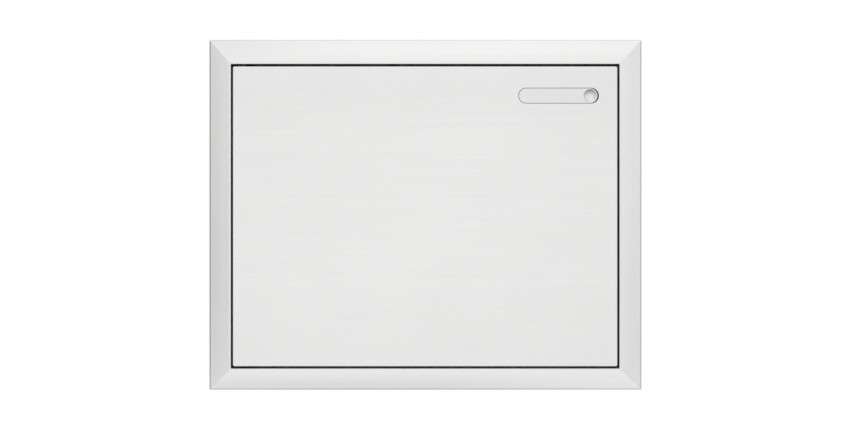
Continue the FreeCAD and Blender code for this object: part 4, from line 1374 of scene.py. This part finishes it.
@dataclass
class HandleSet:
    """Pocket, lever and the small parts that carry them."""

    wire: float = 0.9 * MM
    wire_sides: int = 12
    coil_radius: float = 2.75 * MM
    pitch: float = 1.5 * MM
    steps_per_turn: int = 28
    turns: float = 4.0
    lower_leg: float = 13.0 * MM
    upper_leg: float = 11.0 * MM
    pocket_sheet: float = 1.5 * MM
    seat_gap: float = 0.15 * MM
    # Painted shade on the upper wall of the lever's dish: the dish's margin and rim, the dark tone, and the
    # shift of the unshaded centre and the reach over which the shade comes in.
    dish_margin: float = 1.25 * MM
    dish_rim_width: float = 0.3 * MM
    dish_shade_tone: float = 0.32
    light_shift: tuple[float, float] = (0.6 * MM, -3.5 * MM)
    light_reach: tuple[float, float] = (4.8 * MM, 10.4 * MM)
    nut_sides: int = 48
    nut_width: float = 5.5 * MM
    nut_height: float = 2.4 * MM
    nut_face: float = 0.9
    nut_chamfer: float = 0.35 * MM
    bore_radius: float = 1.52 * MM
    bore_edge: float = 0.28 * MM
    bore_edge_depth: float = 0.3 * MM
    pad_sides: int = 32
    pad_profile: Profile = ((1.0, 0.0), (1.0, 0.55), (0.97, 0.8), (0.88, 1.0), (0.4, 1.0))

    def dress(self) -> None:
        """Satin lever, with painted shade on the upper wall of its dish, in a duller pocket."""
        dress_nodes(replace(LEVER_SATIN, shades=(self.dish(),)), "handle_lever")
        dress_nodes(POCKET_SATIN, "handle_housing")
        dress_nodes(WHITE_NYLON, "lever_bushes")
        dress_nodes(ZINC_PLATE, "lever_pivot_pin", "handle_studs")
        dress_nodes(SPRING_WIRE, "lever_pin_clips")

    def dish(self) -> PaintedDishShade:
        """Painted shade for the thumb dish at the lever's push end, which darkens its upper wall.

        Returns:
            The painted shade of the dish.
        """
        low, high = places("handle_lever")
        half = (high.z - low.z) / 2
        x, z = high.x - half, low.z + half
        radius = half - self.dish_margin
        return PaintedDishShade(
            centre=(x, 0.0, z),
            rim=(radius, radius - self.dish_rim_width),
            light_centre=(x + self.light_shift[0], 0.0, z + self.light_shift[1]),
            light_reach=self.light_reach,
            tone=self.dish_shade_tone,
        )

    def build(self) -> None:
        """Adds the spring, nuts and pad."""
        self.lever_spring()
        self.nuts()
        self.rest_pad()

    def lever_spring(self) -> None:
        """Torsion spring round the pivot pin, made at rest and left on no body; the real coil winds up as
        the lever turns.
        """
        pin = middle("lever_pivot_pin")
        coil, pitch = self.coil_radius, self.pitch
        first = self.leg_turn(pin)
        turns = self.turns - first
        _, lower_run = coil_place(coil, pitch, first)
        _, upper_run = coil_place(coil, pitch, self.turns)
        start = -self.lower_leg * lower_run
        section = wire_section(self.wire, self.wire_sides, coil, pitch, first)
        work = Workpiece()
        ring = work.ring_through([point + start for point in section])
        work.close(ring)
        ring = work.draw(ring, -start)
        ring = work.wind(ring, turns, round(self.steps_per_turn * turns), pitch * turns)
        work.close(work.draw(ring, self.upper_leg * upper_run))
        work.place(UP, pin - Vector((0, 0, pitch * (first + self.turns) / 2)))
        spring = work.finished("lever_coil", None, SPRING_WIRE)
        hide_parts("lever_spring")
        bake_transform(spring)

    def leg_turn(self, pin: Vector) -> float:
        """Turn of the coil where the lower leg leaves it, so that the leg's tip lies on the pocket's floor.

        Args:
            pin: Middle of the pivot pin.

        Returns:
            The turn, counted from the front.
        """
        pocket_floor = places("handle_housing")[1].y - self.pocket_sheet
        drop = pocket_floor - pin.y - self.wire / 2 - self.seat_gap
        reach = math.hypot(self.coil_radius, self.lower_leg)
        lean = math.atan2(self.coil_radius, self.lower_leg)
        return HALF_TURN + (math.asin(drop / reach) - lean) / math.tau

    def nuts(self) -> None:
        """Hexagon nuts with chamfered corners on the studs."""
        low, high = places("handle_nuts")
        centre = middle("handle_nuts")
        corner = self.nut_width / math.sqrt(3)
        tall, bore = self.nut_height, self.bore_radius
        work = Workpiece()
        work.lathe(self.nut_sides, [
            (bore, 0.0),
            (corner * self.nut_face, 0.0),
            (corner, self.nut_chamfer, hexagon_outline),
            (corner, tall - self.nut_chamfer, hexagon_outline),
            (corner * self.nut_face, tall),
            (bore + self.bore_edge, tall),
            (bore, tall - self.bore_edge_depth),
        ], bored=True)
        spots = corners((high.x - low.x - self.nut_width) / 2, (high.z - low.z) / 2 - corner)
        work.place(TO_REAR, *(Vector((centre.x, low.y, centre.z)) + spot for spot in spots))
        nuts = work.finished("chamfered_nuts", "door", ZINC_PLATE)
        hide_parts("handle_nuts")

    def rest_pad(self) -> None:
        """Rubber button with rounded edges under the lever's tail."""
        low, high = places("lever_rest_pad")
        centre = middle("lever_rest_pad")
        work = Workpiece()
        work.lathe(self.pad_sides, turned_rings(self.pad_profile, (high.x - low.x) / 2, high.y - low.y))
        work.place(TO_FRONT, Vector((centre.x, high.y, centre.z)))
        pad = work.finished("rounded_rest_pad", "door", BLACK_RUBBER)
        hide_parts("lever_rest_pad")


@dataclass(frozen=True)
class Softbox:
    """A square area lamp that points at the door."""

    name: str
    spot: tuple[float, float, float]
    size: float
    power: float

    def build(self) -> None:
        """Adds the lamp to the scene."""
        light = bpy.data.lights.new(self.name, "AREA")
        light.shape = "SQUARE"
        light.size = self.size
        light.energy = self.power
        lamp = bpy.data.objects.new(self.name, light)
        lamp.location = self.spot
        lamp.rotation_mode = "QUATERNION"
        lamp.rotation_quaternion = (-Vector(self.spot)).to_track_quat("-Z", "Y")
        bpy.context.scene.collection.objects.link(lamp)


@dataclass(frozen=True)
class Fall:
    """Change of the studio's brightness towards one side."""

    axis: int
    start: float
    end: float
    change: float


@dataclass
class Studio:
    """Floor, light and camera of a plain product picture."""

    floor_z: float = -0.62
    floor_radius: float = 1.7
    floor_sides: int = 96
    floor_tone: Colour = (0.95, 0.95, 0.95)
    # Painted shadow: a darker patch of floor under the door, which also loses the floor's glow.
    shade_tone: Colour = (0.68, 0.68, 0.68)
    shade_centre: tuple[float, float, float] = (-0.14, -0.04, 0.0)
    shade_reach: tuple[float, float] = (0.02, 0.25)
    shade_length_share: float = 0.26
    floor_glow_share: float = 0.93
    camera_distance: float = 1.10
    camera_side: float = 0.05
    camera_rise: float = 0.095
    object_centre_px: tuple[float, float] = (425.5, 214.8)
    image_centre_px: tuple[float, float] = (426.5, 213.0)
    trim_width_px: float = 431.75
    edge_depth: float = -3.0 * MM
    ahead_level: float = 1.0
    ambient_level: float = 0.9
    falls: tuple[Fall, ...] = (
        Fall(axis=0, start=-0.3, end=-0.62, change=-0.22),
        Fall(axis=0, start=-0.68, end=-0.92, change=0.09),
        Fall(axis=0, start=-0.95, end=-1.0, change=-0.3),
        Fall(axis=0, start=0.1, end=0.6, change=-0.08),
        Fall(axis=1, start=-0.35, end=0.1, change=-0.35),
        Fall(axis=1, start=0.5, end=0.9, change=0.3),
        Fall(axis=2, start=0.0, end=-0.3, change=-0.07),
        Fall(axis=2, start=0.25, end=0.5, change=0.05),
        Fall(axis=2, start=0.45, end=0.9, change=-0.12),
    )
    lamps: tuple[Softbox, ...] = (
        Softbox("overhead_softbox", spot=(0.25, -0.75, 2.3), size=2.2, power=2.6),
        Softbox("rear_softbox", spot=(0.5, 2.3, 1.4), size=2.0, power=3.0),
    )

    def build(self) -> None:
        """Makes the camera, the floor, the lamps and the world."""
        self.camera()
        self.floor()
        for lamp in self.lamps:
            lamp.build()
        self.world()
        bpy.context.scene.view_settings.view_transform = "Standard"

    def camera(self) -> None:
        """Level camera, square to the door, a little to the right of its middle and above it."""
        low, high = CAD_BOX
        centre = (low + high) / 2
        away = self.camera_distance + (self.edge_depth - low.y)
        focal_px = self.trim_width_px * away / (high.x - low.x)
        data = bpy.data.cameras.new("photo_camera")
        data.sensor_width = SENSOR_WIDTH
        data.lens = focal_px * SENSOR_WIDTH / PHOTO_WIDTH_PX
        wanted = [a - b for a, b in zip(self.object_centre_px, self.image_centre_px)]
        seen = [-self.camera_side * focal_px / away, self.camera_rise * focal_px / away]
        data.shift_x = (seen[0] - wanted[0]) / PHOTO_WIDTH_PX
        data.shift_y = (wanted[1] - seen[1]) / PHOTO_WIDTH_PX
        camera = bpy.data.objects.new("photo_camera", data)
        camera.location = (
            centre.x + self.camera_side, low.y - self.camera_distance, centre.z + self.camera_rise
        )
        camera.rotation_euler = (math.radians(90), 0, 0)
        bpy.context.scene.collection.objects.link(camera)
        bpy.context.scene.camera = camera

    def floor(self) -> None:
        """Round pale floor, well below the door."""
        mesh = bmesh.new()
        bmesh.ops.create_circle(mesh, cap_ends=True, segments=self.floor_sides, radius=self.floor_radius)
        bmesh.ops.translate(mesh, verts=mesh.verts, vec=(0, 0, self.floor_z))
        data = bpy.data.meshes.new("studio_floor")
        mesh.to_mesh(data)
        mesh.free()
        data.materials.append(self.floor_material())
        floor = bpy.data.objects.new("studio_floor", data)
        bpy.context.scene.collection.objects.link(floor)

    def floor_material(self) -> bpy.types.Material:
        """Pale matt floor that looks white to the camera and in reflections, but keeps its shadow, with a
        painted shadow under the door.

        Returns:
            The material.
        """
        made = bpy.data.materials.new("studio_floor")
        made.use_nodes = True
        graph = NodeGraph(made.node_tree)
        # Painted shadow: near the shade centre the matt colour darkens to the shade tone and the glow fades
        # out.
        away = graph.away_from(self.shade_centre, (self.shade_length_share, 1.0, 0.0))
        outside_painted_shadow = graph.step(away, self.shade_reach)
        matt = graph.add("BsdfDiffuse")
        graph.link(graph.mixed(outside_painted_shadow, self.shade_tone, self.floor_tone), matt.inputs["Color"])
        glow = graph.add("Emission")
        graph.feed(WHITE, glow.inputs["Color"])
        shown = graph.product(self.shown_rays(graph), self.floor_glow_share, outside_painted_shadow)
        both = graph.blended(shown, matt.outputs["BSDF"], glow.outputs["Emission"])
        graph.link(both, graph.add("OutputMaterial").inputs["Surface"])
        return made

    def shown_rays(self, graph: NodeGraph) -> Socket:
        """One for rays that show the background: camera, glossy and transmission rays.

        Args:
            graph: The material's or the world's tree.

        Returns:
            Socket of the number.
        """
        rays = graph.add("LightPath").outputs
        shown = graph.total(rays["Is Camera Ray"], rays["Is Glossy Ray"], rays["Is Transmission Ray"])
        return graph.maths("MINIMUM", shown, 1.0)

    def world(self) -> None:
        """White to the camera, a pale studio in reflections and a little less as plain light."""
        world = bpy.data.worlds.new("studio")
        bpy.context.scene.world = world
        world.use_nodes = True
        graph = NodeGraph(world.node_tree)
        parts = graph.parts("Generated")
        falls = [
            graph.step(parts[fall.axis], (fall.start, fall.end), (0.0, fall.change)) for fall in self.falls
        ]
        studio = self.background(graph, graph.total(*falls, self.ahead_level))
        ambient = self.background(graph, self.ambient_level)
        inner = graph.blended(self.shown_rays(graph), ambient, studio)
        camera_rays = graph.add("LightPath").outputs["Is Camera Ray"]
        outer = graph.blended(camera_rays, inner, self.background(graph, 1.0))
        graph.link(outer, graph.add("OutputWorld").inputs["Surface"])

    def background(self, graph: NodeGraph, strength: Socket | float) -> Socket:
        """A white background.

        Args:
            graph: The world's tree.
            strength: Its strength, as a number or a socket.

        Returns:
            The background's socket.
        """
        shader = graph.add("Background")
        graph.feed(WHITE, shader.inputs["Color"])
        graph.feed(strength, shader.inputs["Strength"])
        return shader.outputs["Background"]


def main() -> None:
    """Lights the door, then dresses and completes each sub-assembly."""
    Studio().build()
    for part in (TrimFrame(), HingeSet(), CatchSet(), DoorLeaf(), HandleSet()):
        part.dress()
        part.build()
        LOG.info("finished %s", type(part).__name__)


if __name__ == "__main__":
    logging.basicConfig(level=logging.INFO, format="%(name)s: %(message)s")
    main()
